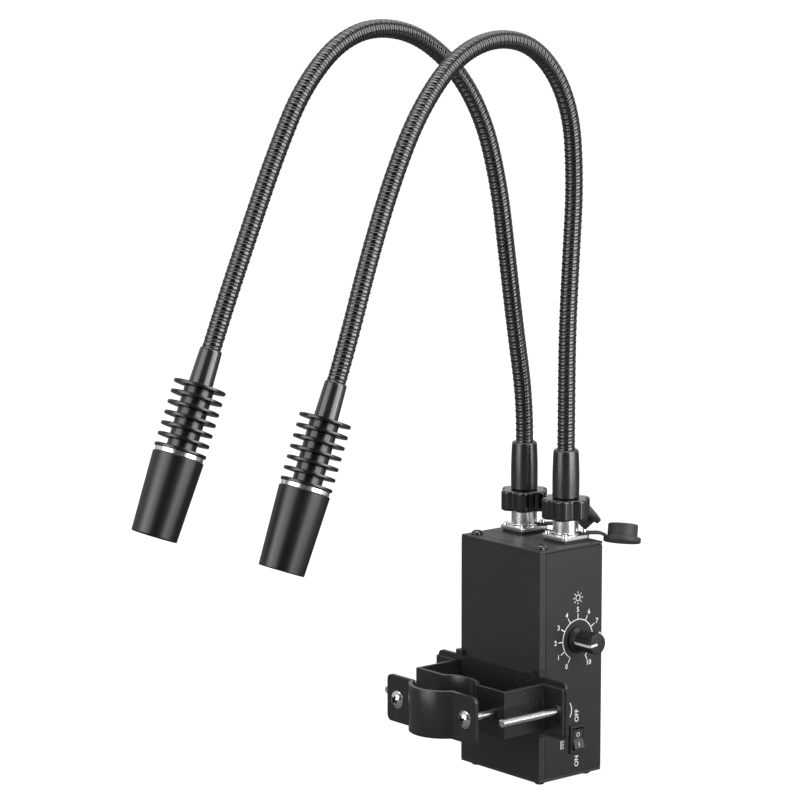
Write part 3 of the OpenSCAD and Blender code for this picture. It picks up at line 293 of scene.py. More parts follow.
def mixed(name, colour, rough, metal=0.0, bump=0.15, bump_mm=0.02, cloud_scale=28.0, grain_scale=900.0,
          stretch=(1, 1, 1), shade=0.12, dust=0.0, **plain):
    """A finish. What is in plain goes to the shader's own inputs."""
    material, tree, shader = new_material(name)
    where = new_node(tree, "TexCoord")
    pull = new_node(tree, "Mapping", {"Scale": stretch})
    surface = new_node(tree, "Group", {"Cloud Scale": cloud_scale, "Grain Scale": grain_scale},
                       node_tree=handled)
    half = new_node(tree, "Math", {1: 0.5}, operation="MULTIPLY")
    both = new_node(tree, "Math", {1: 0.5}, operation="MULTIPLY_ADD")
    tone = new_node(tree, "Mix", {MIX_A: tinted(colour, 1 - shade), MIX_B: tinted(colour, 1 + shade)},
                    data_type="RGBA")
    spread = new_node(tree, "MapRange", {"From Min": 0.3, "From Max": 0.7, "To Min": rough[0],
                                         "To Max": rough[1]})
    relief = new_node(tree, "Bump", {"Strength": bump, "Distance": bump_mm * MM})
    for start, end in ((where.outputs["Object"], pull.inputs["Vector"]),
                       (pull.outputs["Vector"], surface.inputs["Vector"]),
                       (surface.outputs["Cloud"], half.inputs[0]), (surface.outputs["Grain"], both.inputs[0]),
                       (half.outputs[0], both.inputs[2]), (both.outputs[0], tone.inputs[0]),
                       (both.outputs[0], spread.inputs["Value"]), (spread.outputs[0], shader.inputs["Roughness"]),
                       (surface.outputs["Grain"], relief.inputs["Height"]),
                       (relief.outputs["Normal"], shader.inputs["Normal"])):
        link(tree, start, end)
    colour_out = tone.outputs[MIX_RESULT]
    if dust:
        speck = new_node(tree, "Group", {"Share": dust}, node_tree=specks)
        pale = new_node(tree, "Mix", {MIX_B: tinted(colour, 2.6, 0.02)}, data_type="RGBA")
        link(tree, where.outputs["Object"], speck.inputs["Vector"])
        link(tree, speck.outputs["Speck"], pale.inputs[0])
        link(tree, colour_out, pale.inputs[MIX_A])
        colour_out = pale.outputs[MIX_RESULT]
    link(tree, colour_out, shader.inputs["Base Color"])
    set_values(shader, {"Metallic": metal})
    set_values(shader, {label.replace("_", " "): value for label, value in plain.items()})
    return material


print("finishes share:", handled.name)

# %% [markdown]
# Each finish is its colour, the range of its roughness, and how much of a metal it is. The panel's grain
# is stretched level, along the brushing, and the lens is plain clear glass.

# %% The finishes of this object
FINISH = {
    "case": mixed("satin_black_anodising", (0.031, 0.0315, 0.0325), (0.36, 0.46), metal=0.25, bump=0.12,
        grain_scale=1500, dust=0.035),
    "plate": mixed("satin_black_plate", (0.042, 0.0425, 0.044), (0.38, 0.48), metal=0.35, bump=0.14,
        grain_scale=1300, dust=0.03),
    "panel": mixed("brushed_black_anodising", (0.036, 0.0367, 0.0382), (0.34, 0.5), metal=0.55, bump=0.3,
        bump_mm=0.012, grain_scale=420, cloud_scale=14, stretch=(1, 0.04, 3.2), shade=0.3),
    "black_steel": mixed("black_painted_steel", (0.02, 0.02, 0.0205), (0.2, 0.3), bump=0.1,
        bump_mm=0.02, grain_scale=380),
    "black_screw": mixed("black_oxide", (0.1, 0.1, 0.1), (0.16, 0.28), metal=1.0, bump=0.1),
    "bright_screw": mixed("bright_nickel", (0.78, 0.77, 0.74), (0.12, 0.26), metal=1.0, bump=0.08,
        shade=0.08, grain_scale=700),
    "chrome": mixed("satin_chrome", (0.86, 0.865, 0.87), (0.16, 0.28), metal=1.0, bump=0.3,
        bump_mm=0.02, shade=0.07, cloud_scale=90, grain_scale=620),
    "gloss_black": mixed("polished_black_plastic", (0.0075, 0.0075, 0.0078), (0.07, 0.15), bump=0.05,
        grain_scale=300, Specular_IOR_Level=0.7, Coat_Weight=0.3, Coat_Roughness=0.06),
    "plug": mixed("matte_black_plastic", (0.016, 0.016, 0.016), (0.4, 0.55), bump=0.2),
    "insert": mixed("dark_moulding", (0.04, 0.032, 0.025), (0.35, 0.5), bump=0.2),
    "neck": mixed("black_nickel_hose", (0.1, 0.1, 0.102), (0.14, 0.24), metal=1.0, bump=0.2, bump_mm=0.015,
        grain_scale=650, shade=0.2),
    "heat_sink": mixed("black_anodised_sink", (0.07, 0.07, 0.071), (0.24, 0.34), metal=1.0, bump=0.1,
        grain_scale=800),
    "shroud": mixed("satin_black_shroud", (0.055, 0.0555, 0.0565), (0.3, 0.38), metal=1.0, bump=0.25,
        bump_mm=0.02, grain_scale=1500, dust=0.02),
    "led": mixed("lamp_board", (0.82, 0.8, 0.68), (0.4, 0.6)),
    "knob": mixed("satin_black_knob", (0.013, 0.013, 0.0135), (0.3, 0.45), bump=0.2, grain_scale=1100),
    "white": mixed("white_print", (0.8, 0.8, 0.78), (0.5, 0.65), shade=0.04),
    "switch": mixed("switch_moulding", (0.017, 0.017, 0.0175), (0.32, 0.45), bump=0.2, grain_scale=1200),
    "rocker": mixed("rocker_moulding", (0.028, 0.028, 0.029), (0.28, 0.4), bump=0.15, grain_scale=1200),
    "jack": mixed("jack_moulding", (0.01, 0.01, 0.01), (0.25, 0.4), bump=0.2),
    "steel": mixed("zinc_plate", (0.5, 0.5, 0.49), (0.25, 0.4), metal=1.0, bump=0.15),
    "board": mixed("circuit_board_green", (0.02, 0.12, 0.05), (0.3, 0.45), bump=0.1),
    "rubber": mixed("matte_rubber", (0.024, 0.0242, 0.025), (0.5, 0.64), bump=0.3, bump_mm=0.03,
        grain_scale=1000, dust=0.05),
}
FINISH["lens"], _, lens_shader = new_material("clear_lens")
set_values(lens_shader, {"Base Color": (0.9, 0.95, 0.98, 1), "Transmission Weight": 1, "Roughness": 0.04,
                         "IOR": 1.49})
satin_sleeve = mixed("satin_black_moulding", (0.009, 0.009, 0.0092), (0.2, 0.3), bump=0.08,
                     grain_scale=700, Specular_IOR_Level=1.0)
# The inside of each screw's cross gets this dark finish: a painted shade for the recess.
painted_recess_shade = mixed("recess_painted_shade", (0.05, 0.05, 0.05), (0.4, 0.6), metal=0.5, bump=0.2)
print("finishes:", len(FINISH))

# %% [markdown]
# ## Dressing what the CAD already has right
# The nodes whose shape is final keep their CAD mesh. It gets its finish, and two modifiers: Weld joins
# its loose triangles, and Bevel breaks the sharp edges the way a deburring tool does.

# %% Dressing the CAD nodes
for entry_row in frame["record"]["subparts"]:
    node = frame["nodes"][entry_row["node"]]
    node.data.materials.clear()
    node.data.materials.append(FINISH[entry_row["material_slot"]])


def broken_edges(node, width):
    """Rounds a CAD node's sharp edges by modifiers, so its own mesh stays as it is."""
    holder = frame["nodes"][node]
    weld = holder.modifiers.new("join", "WELD")
    weld.merge_threshold = 1e-6
    bevel = holder.modifiers.new("broken_edges", "BEVEL")
    bevel.width, bevel.segments = width * MM, 2
    bevel.limit_method, bevel.angle_limit = "ANGLE", math.radians(35)


for node, width in {"housing": 0.5, "top_plate": 0.3, "bottom_plate": 0.3, "circuit_board": 0.1,
                    "switch_frame": 0.28, "hat_bracket": 0.4, "carrier_plate": 0.45, "saddle": 0.3,
                    "dc_jack": 0.15}.items():
    broken_edges(node, width)
print("dressed nodes:", len(frame["nodes"]))

# %% [markdown]
# ## Tools for the new pieces
# A piece starts as an empty bmesh, is drawn in millimetres in an easy place, such as upright on the
# origin, and is then set in its place by one matrix. One function ends each piece: it merges doubles,
# marks the sharp edges and lets the piece ride its body. A lathe and a file for the edges follow it.

# %% Ending a piece
DOUBLE_MM = 1e-4  # points closer than this are one point
FLAT, SLIGHT, MUCH_LARGER = 0.004, 0.03, 6  # two turns in radians and a ratio of areas


def creased(shape, limit):
    """Marks the sharp edges: those that turn by more than the limit, and the rims of large flat areas."""
    shape.faces.index_update()
    region, areas = {}, []
    for face in shape.faces:
        if face in region:
            continue
        todo, total = [face], 0.0
        region[face] = len(areas)
        while todo:
            now = todo.pop()
            total += now.calc_area()
            for edge in now.edges:
                if len(edge.link_faces) == 2 and edge.calc_face_angle(9) < FLAT:
                    for near in edge.link_faces:
                        if near not in region:
                            region[near] = len(areas)
                            todo.append(near)
        areas.append(total)
    for edge in shape.edges:
        if len(edge.link_faces) == 2:
            turn = edge.calc_face_angle(9)
            a, b = (areas[region[f]] for f in edge.link_faces)
            edge.smooth = not (turn > limit or (turn > SLIGHT and max(a, b) > MUCH_LARGER * min(a, b)))


def piece(name, shape, body, slot, stands_for=(), at=Matrix.Identity(4), sharp=32, finish=None):
    """Sets a finished bmesh in its place, names it, and lets it ride a CAD body."""
    bmesh.ops.remove_doubles(shape, verts=shape.verts, dist=DOUBLE_MM)
    bmesh.ops.dissolve_degenerate(shape, edges=shape.edges, dist=1e-5)
    bmesh.ops.recalc_face_normals(shape, faces=shape.faces)
    if sharp:
        creased(shape, math.radians(sharp))
    bmesh.ops.transform(shape, matrix=Matrix.Diagonal((MM, MM, MM, 1)) @ at, verts=shape.verts)
    for face in shape.faces:
        face.smooth = True
    mesh = bpy.data.meshes.new(name)
    shape.to_mesh(mesh)
    shape.free()
    holder = new_object(name, mesh)
    mesh.materials.append(finish or FINISH[slot])
    if body:
        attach(holder, body)
    if stands_for:
        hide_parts(*stands_for)
    print(f"{name}: {len(mesh.vertices)} points")
    return holder


def moved(x=0, y=0, z=0):
    return Matrix.Translation((x, y, z))


def turned(degrees, axis):
    return Matrix.Rotation(math.radians(degrees), 4, axis)


print("points join within", DOUBLE_MM, "mm")

# %% Lathe and file
def points_in(found):
    return [v for v in found if isinstance(v, bmesh.types.BMVert)]


def wire(shape, points, closed=False):
    """A chain of edges through a few points in the XZ plane."""
    chain = [shape.verts.new((x, 0, z)) for x, z in points]
    for a, b in zip(chain, chain[1:] + (chain[:1] if closed else [])):
        if a is not b:
            shape.edges.new((a, b))
    return chain


def lathe(shape, points, steps=72, closed=False):
    """Spins a profile of (radius, height) points round Z."""
    before = set(shape.verts)
    wire(shape, points, closed)
    fresh = [v for v in shape.verts if v not in before]
    edges = [e for e in shape.edges if e.verts[0] in fresh]
    bmesh.ops.spin(shape, geom=fresh + edges, cent=(0, 0, 0), axis=(0, 0, 1), dvec=(0, 0, 0),
                   angle=math.tau, steps=steps, use_merge=True, use_duplicate=False)
    new = [v for v in shape.verts if v not in before]
    bmesh.ops.remove_doubles(shape, verts=new, dist=DOUBLE_MM)


def filed(shape, width, segments=2, angle=30, only=None):
    """Rounds the edges that turn by more than an angle."""
    bmesh.ops.remove_doubles(shape, verts=shape.verts, dist=DOUBLE_MM)
    bmesh.ops.recalc_face_normals(shape, faces=shape.faces)
    limit = math.radians(angle)
    edges = [e for e in shape.edges if len(e.link_faces) == 2 and e.calc_face_angle(0) > limit
             and (only is None or only(e))]
    bmesh.ops.bevel(shape, geom=edges, offset=width, offset_type="OFFSET", segments=segments, profile=0.5,
                    affect="EDGES", clamp_overlap=True, material=-1)


print("lathe and file ready")

# %% [markdown]
# ## The clamp screws
# Two bright pan-head screws draw the clamp's strap tight. A driver's cross is tapered in every direction,
# so its walls throw the light aside, and its inside faces get a dark finish as painted shade. The head is
# turned, and a tapered cross is then cut out of it with a Boolean modifier whose result is kept.

# %% Cutting one shape out of another
def cut_out(shape, cutter):
    """Cuts a bmesh out of another one."""
    holders = []
    for solid in (shape, cutter):
        bmesh.ops.remove_doubles(solid, verts=solid.verts, dist=DOUBLE_MM)
        bmesh.ops.recalc_face_normals(solid, faces=solid.faces)
        mesh = bpy.data.meshes.new("blank")
        solid.to_mesh(mesh)
        holders.append(new_object("blank", mesh))
    cut = holders[0].modifiers.new("cut", "BOOLEAN")
    cut.operation, cut.solver, cut.object = "DIFFERENCE", "EXACT", holders[1]
    result = bpy.data.meshes.new_from_object(holders[0].evaluated_get(bpy.context.evaluated_depsgraph_get()))
    shape.clear()
    shape.from_mesh(result)
    for holder in holders:
        mesh = holder.data
        bpy.data.objects.remove(holder)
        bpy.data.meshes.remove(mesh)
    bpy.data.meshes.remove(result)
    cutter.free()


print("cutter ready")

# %% One pan-head screw
PAN_R, PAN_H, SHANK_R = 4.5, 2.7, 2.0
CROSS_LONG, CROSS_WIDE, CROSS_DEEP = 5.8, 1.7, 2.1
LONG_TAPER, WIDE_TAPER = 0.42, 0.55  # how much of the cross is left at its bottom
ball = (PAN_R * PAN_R + PAN_H * PAN_H) / (2 * PAN_H)


def dome_height(radius):
    return PAN_H - ball + math.sqrt(ball * ball - radius * radius)


def pan_screw(foot):
    """An upright screw, with its head's underside at zero and its tip at foot."""
    screw = bmesh.new()
    rim = [(PAN_R - 0.12, 0.0), (PAN_R, 0.12), (PAN_R, 0.3)]
    top = [(r, dome_height(r)) for r in (4.35, 4.1, 3.8, 3.4, 3.0, 2.5, 2.0, 1.4, 0.8)] + [(0, PAN_H)]
    lathe(screw, [(0, foot), (SHANK_R - 0.5, foot), (SHANK_R, foot + 0.5), (SHANK_R, 0.0)] + rim + top, 64)
    for spin in (0, 90):
        wing = bmesh.new()
        bmesh.ops.create_cube(wing, size=1)
        for v in wing.verts:
            deep = v.co.z < 0
            v.co = Vector((v.co.x * (CROSS_LONG * (LONG_TAPER if deep else 1.0)),
                           v.co.y * (CROSS_WIDE * (WIDE_TAPER if deep else 1.0)),
                           PAN_H - CROSS_DEEP if deep else PAN_H + 0.4))
        bmesh.ops.rotate(wing, verts=wing.verts, cent=(0, 0, 0),
                         matrix=Matrix.Rotation(math.radians(spin), 3, "Z"))
        cut_out(screw, wing)
    for face in screw.faces:
        spot = face.calc_center_median()
        # Faces inside the cross take the second finish, a darker painted shade.
        face.material_index = int(spot.xy.length < 3 and 0.5 < spot.z < dome_height(spot.xy.length) - 0.12)
    return screw


print("dome radius:", round(ball, 2))

# %% Clamp screws
clamp_low, clamp_high = low("clamp_screws"), high("clamp_screws")
screws = bmesh.new()
for across, tightened in ((clamp_low.x + PAN_R, 62), (clamp_high.x - PAN_R, 20)):
    screw = pan_screw(clamp_low.y + PAN_H - clamp_high.y)
    bmesh.ops.transform(screw, verts=screw.verts,
                        matrix=moved(across, clamp_low.y + PAN_H, 0) @ turned(90, "X") @ turned(tightened, "Z"))
    part = bpy.data.meshes.new("one_screw")
    screw.to_mesh(part)
    screws.from_mesh(part)
    screw.free()
    bpy.data.meshes.remove(part)
bright = piece("clamp_screw_pair", screws, "strap", "bright_screw", ["clamp_screws"], sharp=24)
# The second finish is the painted shade inside the crosses.
bright.data.materials.append(painted_recess_shade)

# %% [markdown]
# ## The sockets
# Each gooseneck plugs into a chrome socket: a square flange on a gasket, held by four small screws, with
# a smooth barrel above it. The flange is cut as a plate, and the barrel is turned on the lathe with a small
# fillet at its foot, where a real one is cast in one piece with the flange.

# %% Cutting a plate
def thickened(shape, amount, direction):
    """Extrudes every face of a flat drawing along a direction."""
    grown = bmesh.ops.extrude_face_region(shape, geom=shape.faces[:])["geom"]
    bmesh.ops.translate(shape, vec=Vector(direction) * amount, verts=points_in(grown))


def plate(shape, width, height, thickness, corner=0.0, round_holes=(), square_holes=(), corner_steps=6):
    """A centred plate with rounded corners and holes right through it."""
    def outline(w, h, r, x=0.0, y=0.0):
        made = bmesh.ops.create_grid(shape, x_segments=1, y_segments=1, size=0.5,
                                     matrix=moved(x, y) @ Matrix.Diagonal((w, h, 1, 1)))["verts"]
        if r > 0:
            bmesh.ops.bevel(shape, geom=made, offset=r, segments=corner_steps, profile=0.5, affect="VERTICES",
                            material=-1)
    outline(width, height, corner)
    for x, y, w, h in square_holes:
        outline(w, h, 0, x, y)
    bmesh.ops.delete(shape, geom=shape.faces[:], context="FACES_ONLY")
    for x, y, r in round_holes:
        bmesh.ops.create_circle(shape, cap_ends=False, segments=48, radius=r, matrix=moved(x, y))
    bmesh.ops.triangle_fill(shape, edges=shape.edges[:], use_beauty=True, use_dissolve=False, normal=(0, 0, 1))
    thickened(shape, thickness, (0, 0, 1))


print("plate cutter ready")

# %% Sockets and gaskets
SIDES = ("left", "right")
SOCKET = {side: moved(*middle(side + "_socket").xy, case_top) for side in SIDES}
GASKET, FLANGE, BARREL = 1.2, 3.2, 17.0
CORNER = 6.5
SCREW_PLACES = [(x, y) for x in (-CORNER, CORNER) for y in (-CORNER, CORNER)]

for side in SIDES:
    gasket = bmesh.new()
    plate(gasket, 16.4, 16.4, GASKET, 1.6, [(0, 0, 6.0)])
    filed(gasket, 0.2)
    piece(f"{side}_gasket", gasket, "base", "rubber", [f"{side}_socket"], SOCKET[side])
    socket = bmesh.new()
    plate(socket, 18, 18, FLANGE - GASKET, 1.6, [(x, y, 0.95) for x, y in SCREW_PLACES] + [(0, 0, 5.4)])
    filed(socket, 0.35, 3)
    bmesh.ops.translate(socket, verts=socket.verts, vec=(0, 0, GASKET))
    lathe(socket, [(5.4, GASKET), (7.5, FLANGE - 0.1), (7.5, FLANGE + 0.2), (7.2, FLANGE + 0.45),
                   (6.9, FLANGE + 0.55), (6.65, FLANGE + 0.8), (6.6, FLANGE + 1.1), (6.6, BARREL - 0.5),
                   (6.3, BARREL), (5.4, BARREL)], 72, closed=True)
    piece(f"{side}_socket_shell", socket, "base", "chrome", [f"{side}_socket"], SOCKET[side], sharp=24)

# %% [markdown]
# ## Star nuts and sleeves
# The nut that holds the plug down has six lobes for the fingers. Its outline is drawn as twelve arcs that
# touch without a corner, then cut from the solid and rounded on its rims. It is polished like a piano.

# %% Outline of a star nut
LOBES, LOBE_R, LOBE_RING, VALLEY_RING = 6, 4.6, 8.15, 12.85
STAR_FOOT, STAR_HEIGHT = 11.5, 10.5
STAR_TURN = {"right": 7, "left": 15}


def arc_to(shape, last, centre, degrees, steps):
    made = bmesh.ops.spin(shape, geom=[last], cent=(centre[0], centre[1], last.co.z), axis=(0, 0, 1),
                          angle=math.radians(degrees), steps=steps)
    return points_in(made["geom_last"])[0]


def star_outline(shape):
    """Six finger lobes joined by six hollows, as one closed chain."""
    step = math.tau / LOBES
    hollow = Vector((VALLEY_RING * math.cos(step / 2), VALLEY_RING * math.sin(step / 2)))
    lean = math.atan2(hollow.y, hollow.x - LOBE_RING)
    first = shape.verts.new((LOBE_RING + LOBE_R * math.cos(-lean), LOBE_R * math.sin(-lean), 0))
    last = first
    for k in range(LOBES):
        spot = Matrix.Rotation(step * k, 2) @ Vector((LOBE_RING, 0))
        last = arc_to(shape, last, spot, math.degrees(2 * lean), 18)
        spot = Matrix.Rotation(step * k, 2) @ hollow
        last = arc_to(shape, last, spot, math.degrees(step - 2 * lean), 10)
    bmesh.ops.pointmerge(shape, verts=[first, last], merge_co=first.co)


print("star nut radius:", LOBE_RING + LOBE_R)

# %% Star nuts and plugs
for side in SIDES:
    star = bmesh.new()
    star_outline(star)
    bmesh.ops.create_circle(star, cap_ends=False, segments=64, radius=6.65)
    bmesh.ops.triangle_fill(star, edges=star.edges[:], use_beauty=True, normal=(0, 0, 1))
    thickened(star, STAR_HEIGHT, (0, 0, 1))
    filed(star, 1.1, 5, 60, lambda e: all(v.co.xy.length > 7 for v in e.verts))
    piece(f"{side}_star_nut_body", star, f"{side}_nut", "gloss_black", [f"{side}_star_nut"],
          SOCKET[side] @ moved(z=STAR_FOOT) @ turned(STAR_TURN[side], "Z"))
    collar = bmesh.new()
    lathe(collar, [(0, 16.9), (6.5, 16.9), (6.5, 18.6), (6.3, 18.8), (5.2, 18.8), (5.2, 36.6), (0, 36.6)], 64)
    piece(f"{side}_plug_body", collar, "base", "plug", [f"{side}_plug"], SOCKET[side])

# %% [markdown]
# The sleeve above the nut is a plain tube that narrows a little. It is satin, so that its two light bands
# have soft edges.

# %% Sleeves
SLEEVE_FOOT = 22.3
for side in SIDES:
    sleeve = bmesh.new()
    lathe(sleeve, [(5.3, SLEEVE_FOOT), (6.65, SLEEVE_FOOT), (6.87, SLEEVE_FOOT + 0.3), (6.93, 30), (6.9, 34),
                   (6.8, 38), (6.66, 42), (6.52, 44.6), (6.46, 45.8), (6.3, 46.35), (6.05, 46.7), (5.7, 46.9),
                   (5.3, 46.97), (4.7, 46.97), (4.56, 46.8), (4.56, 45), (5.3, 35)], 72, closed=True)
    piece(f"{side}_sleeve_body", sleeve, "base", "gloss_black", [f"{side}_sleeve"], SOCKET[side],
          finish=satin_sleeve)

# %% [markdown]
# ## The goosenecks
# A gooseneck is a wire wound into a tube: a wide round wire with a narrow three-sided wire pressed into
# its outer groove, which is why the surface shows a wide band and a thin line by turns. One pitch of that
# profile is spun round the axis while it climbs, which gives the true screw form. The straight hose is
# then laid along the neck's centre line, which is twelve arcs in one upright plane, with a slight lean
# to one side over the last length.

# %% The centre line of a neck
NECK_START, NECK_LENGTH = 49.0, 460.0
BENDS = {"right": (-0.5, -4, -0.5, 12, 37, 34, 25.5, 25.5, 16.5, 6.5, 7.5, 0),
         "left": (12, -1.5, 0, 10, 22, 22.5, 26, 34.5, 22, 4.5, 2.5, 3.5)}
HEADING = {"right": -75.0, "left": -80.0}
ASIDE = {"right": math.radians(-5.5), "left": math.radians(-3.5)}


def along_neck(side, distance):
    """The place at a distance along a neck, as a matrix whose Z runs along it."""
    arcs = len(BENDS[side])
    stretch, lean = NECK_LENGTH / arcs, 0.0
    out, up = 0.0, min(distance, 0.0)
    left = max(distance, 0.0)
    for n, bend in enumerate(BENDS[side]):
        run = left if n == arcs - 1 else min(left, stretch)
        turn = math.radians(bend) * run / stretch
        chord = run * (math.sin(turn / 2) / (turn / 2) if abs(turn) > 1e-6 else 1)
        out += chord * math.sin(lean + turn / 2)
        up += chord * math.cos(lean + turn / 2)
        lean += turn
        left -= run
        if left <= 0:
            break
    past = max(0.0, distance / NECK_LENGTH * 6 - 5)
    return (SOCKET[side] @ moved(z=NECK_START) @ turned(HEADING[side], "Z")
            @ moved(out, ASIDE[side] * past * past * stretch, up) @ Matrix.Rotation(lean, 4, "Y")
            @ Matrix.Rotation(-ASIDE[side] * past, 4, "X"))


HEAD = {side: along_neck(side, NECK_LENGTH) for side in SIDES}
print("necks end at:", {side: [round(v) for v in HEAD[side].translation] for side in SIDES})

# %% Winding and cutting
def helix(shape, section, pitch, turns, steps):
    """Spins one pitch of a profile into a right-handed screw turn and stacks copies of it."""
    wire(shape, section)
    bmesh.ops.spin(shape, geom=shape.verts[:] + shape.edges[:], cent=(0, 0, 0), axis=(0, 0, 1),
                   dvec=(0, 0, pitch / steps), angle=math.tau, steps=steps)
    made = 1
    while made < turns:
        copy = bmesh.ops.duplicate(shape, geom=shape.verts[:] + shape.edges[:] + shape.faces[:])["geom"]
        bmesh.ops.translate(shape, vec=(0, 0, made * pitch), verts=points_in(copy))
        made *= 2
    bmesh.ops.remove_doubles(shape, verts=shape.verts, dist=1e-3)


def cut_level(shape, z, keep_above):
    """Cuts a shape level, throws one side away and closes the cut."""
    cut = bmesh.ops.bisect_plane(shape, geom=shape.verts[:] + shape.edges[:] + shape.faces[:],
                                 plane_co=(0, 0, z), plane_no=(0, 0, 1), dist=1e-5,
                                 clear_inner=keep_above, clear_outer=not keep_above)
    rim = [g for g in cut["geom_cut"] if isinstance(g, bmesh.types.BMEdge)]
    bmesh.ops.triangle_fill(shape, edges=rim, use_beauty=True)


print("winder ready")

# %% The wound hose
PITCH, ROUND_STEPS = 3.4, 24
WIRE = [(4.1, 0), (4.26, 0.1), (4.42, 0.28), (4.52, 0.6), (4.55, 1.1), (4.52, 1.6), (4.42, 1.92), (4.26, 2.1),
        (4.1, 2.2), (4.36, 2.36), (4.45, 2.58), (4.45, 3.02), (4.36, 3.24), (4.1, PITCH)]


def hose(side, start, end):
    """A length of wound hose, laid along a neck."""
    shape = bmesh.new()
    first = math.floor(start / PITCH) - 1
    last = math.ceil(end / PITCH) + 1
    helix(shape, WIRE, PITCH, last - first, ROUND_STEPS)
    bmesh.ops.translate(shape, verts=shape.verts, vec=(0, 0, first * PITCH))
    cut_level(shape, start, True)
    cut_level(shape, end, False)
    known = {}
    for v in shape.verts:
        height = round(v.co.z, 3)
        if height not in known:
            known[height] = along_neck(side, height)
        v.co = known[height] @ Vector((v.co.x, v.co.y, 0))
    return shape


print("turns on a neck:", round(NECK_LENGTH / PITCH))

# %% [markdown]
# The real hose bends all along its length. Here each neck bends at five joints, so a length of hose lies
# across each joint. The lengths at the two ends ride the first and the last link, and those between are
# laid where they rest.

# %% Hose lengths along the necks
LINK, INTO_SLEEVE, INTO_STEM = NECK_LENGTH / 6, 8, 3
for side in SIDES:
    piece(f"{side}_hose_foot", hose(side, -INTO_SLEEVE, LINK / 2), f"{side}_link_1", "neck", [f"{side}_neck_1"],
          sharp=0)
    for k in range(1, 6):
        start, end = LINK * (k - 0.5), LINK * (k + 0.5)
        part = piece(f"{side}_hose_{k}", hose(side, start, end), None, "neck", [f"{side}_neck_{k}"], sharp=0)
        along_neck(side, start + 6).translation * MM
        along_neck(side, end - 6).translation * MM
        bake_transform(part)
    piece(f"{side}_hose_top", hose(side, LINK * 5.5, NECK_LENGTH + INTO_STEM), f"{side}_link_6", "neck",
          [f"{side}_neck_6"], sharp=0)

# %% [markdown]
# ## The lamp heads
# Everything in a head is round, so the whole head is lathe work along its own axis: a flared stem, a
# finned heat sink, a bright collar, and a slim shroud that narrows a little towards its mouth, with the
# lens set back inside it.

# %% Stems and heat sinks
STEM = 17.5
FINS, FIN_RIM, FIN_ROOT = 7, 0.3, 0.25
FIN_FIRST, FIN_STEP, FIN_THICK, FIN_R, CORE_R = 18.3, 5.05, 1.5, 12.25, 6.9
SINK_END = 49.35


def stem_and_sink(side, head, link):
    stem = bmesh.new()
    lathe(stem, [(4.3, 0.0), (4.75, 0.08), (5.05, 0.35), (5.18, 0.8), (5.25, 1.6), (5.6, STEM - 3),
                 (5.68, STEM - 0.2), (5.6, STEM), (2.4, STEM), (2.4, 0.0)], 72, closed=True)
    piece(f"{side}_stem_body", stem, link, "gloss_black", [f"{side}_stem"], head, finish=satin_sleeve)
    sink = bmesh.new()
    profile = [(2.0, STEM + 0.05)]
    for k in range(FINS):
        z = FIN_FIRST + FIN_STEP * k
        low_z, high_z, e = z - FIN_THICK / 2, z + FIN_THICK / 2, FIN_RIM
        profile += [(FIN_R - e, low_z), (FIN_R - e * 0.3, low_z + e * 0.3), (FIN_R, low_z + e),
                    (FIN_R, high_z - e), (FIN_R - e * 0.3, high_z - e * 0.3), (FIN_R - e, high_z)]
        if k < FINS - 1:
            next_z = high_z + FIN_STEP - FIN_THICK
            profile += [(CORE_R + FIN_ROOT, high_z), (CORE_R, high_z + FIN_ROOT), (CORE_R, next_z - FIN_ROOT),
                        (CORE_R + FIN_ROOT, next_z)]
    lathe(sink, profile + [(2.0, SINK_END)], 96, closed=True)
    piece(f"{side}_finned_sink", sink, link, "heat_sink", [f"{side}_heat_sink"], head, sharp=40)


print("fins on each head:", FINS)

# %% [markdown]
# The collar and the shroud are two more turned rings, and the lens is a disc with a shallow dome on its
# inner face, 12 mm inside the mouth.

# %% Collars, shrouds and lenses
SHROUD_START, MOUTH = 51.55, 89.55
SHROUD_R, MOUTH_R, BORE_R = 12.1, 10.8, 9.78
LENS_R, LENS_BALL, LENS_ARC, LENS_FACE, LENS_RIM = 9.65, 22, 0.45, MOUTH - 12, MOUTH - 13.8


def shroud_outer(z):
    return SHROUD_R - (SHROUD_R - MOUTH_R) * (z - SHROUD_START) / (MOUTH - SHROUD_START)


def front_of_head(side, head, link):
    collar = bmesh.new()
    lathe(collar, [(8.2, SINK_END), (11.2, SINK_END), (11.4, SINK_END + 0.2), (11.4, SHROUD_START - 0.2),
                   (11.25, SHROUD_START), (10.8, SHROUD_START), (10.8, SHROUD_START + 4), (8.2, SHROUD_START + 4)],
          96, closed=True)
    piece(f"{side}_collar_ring", collar, link, "chrome", [f"{side}_collar"], head, sharp=24)
    shroud = bmesh.new()
    lathe(shroud, [(10.9, SHROUD_START + 0.05), (11.85, SHROUD_START + 0.05), (12.08, SHROUD_START + 0.3),
                   (shroud_outer(70), 70), (shroud_outer(MOUTH - 0.2), MOUTH - 0.2), (10.65, MOUTH),
                   (9.6, MOUTH), (9.45, MOUTH - 0.2), (BORE_R, MOUTH - 12), (BORE_R + 0.05, MOUTH - 13.8),
                   (BORE_R - 0.75, MOUTH - 14.3), (BORE_R - 0.75, MOUTH - 15.5), (10.9, SHROUD_START + 5)],
          96, closed=True)
    piece(f"{side}_shroud_tube", shroud, link, "shroud", [f"{side}_shroud"], head, sharp=24)
    lens = bmesh.new()
    dome = [(LENS_R * math.sin(a) / math.sin(LENS_ARC), LENS_RIM - LENS_BALL * (math.cos(a) - math.cos(LENS_ARC)))
            for a in (LENS_ARC * k / 10 for k in range(10, 0, -1))]
    lathe(lens, [(0, LENS_FACE), (LENS_R, LENS_FACE)] + dome
          + [(0, LENS_RIM - LENS_BALL * (1 - math.cos(LENS_ARC)))], 72)
    piece(f"{side}_lens_disc", lens, link, "lens", [f"{side}_lens"], head)


for side in SIDES:
    for half in (stem_and_sink, front_of_head):
        half(side, HEAD[side], f"{side}_link_6")
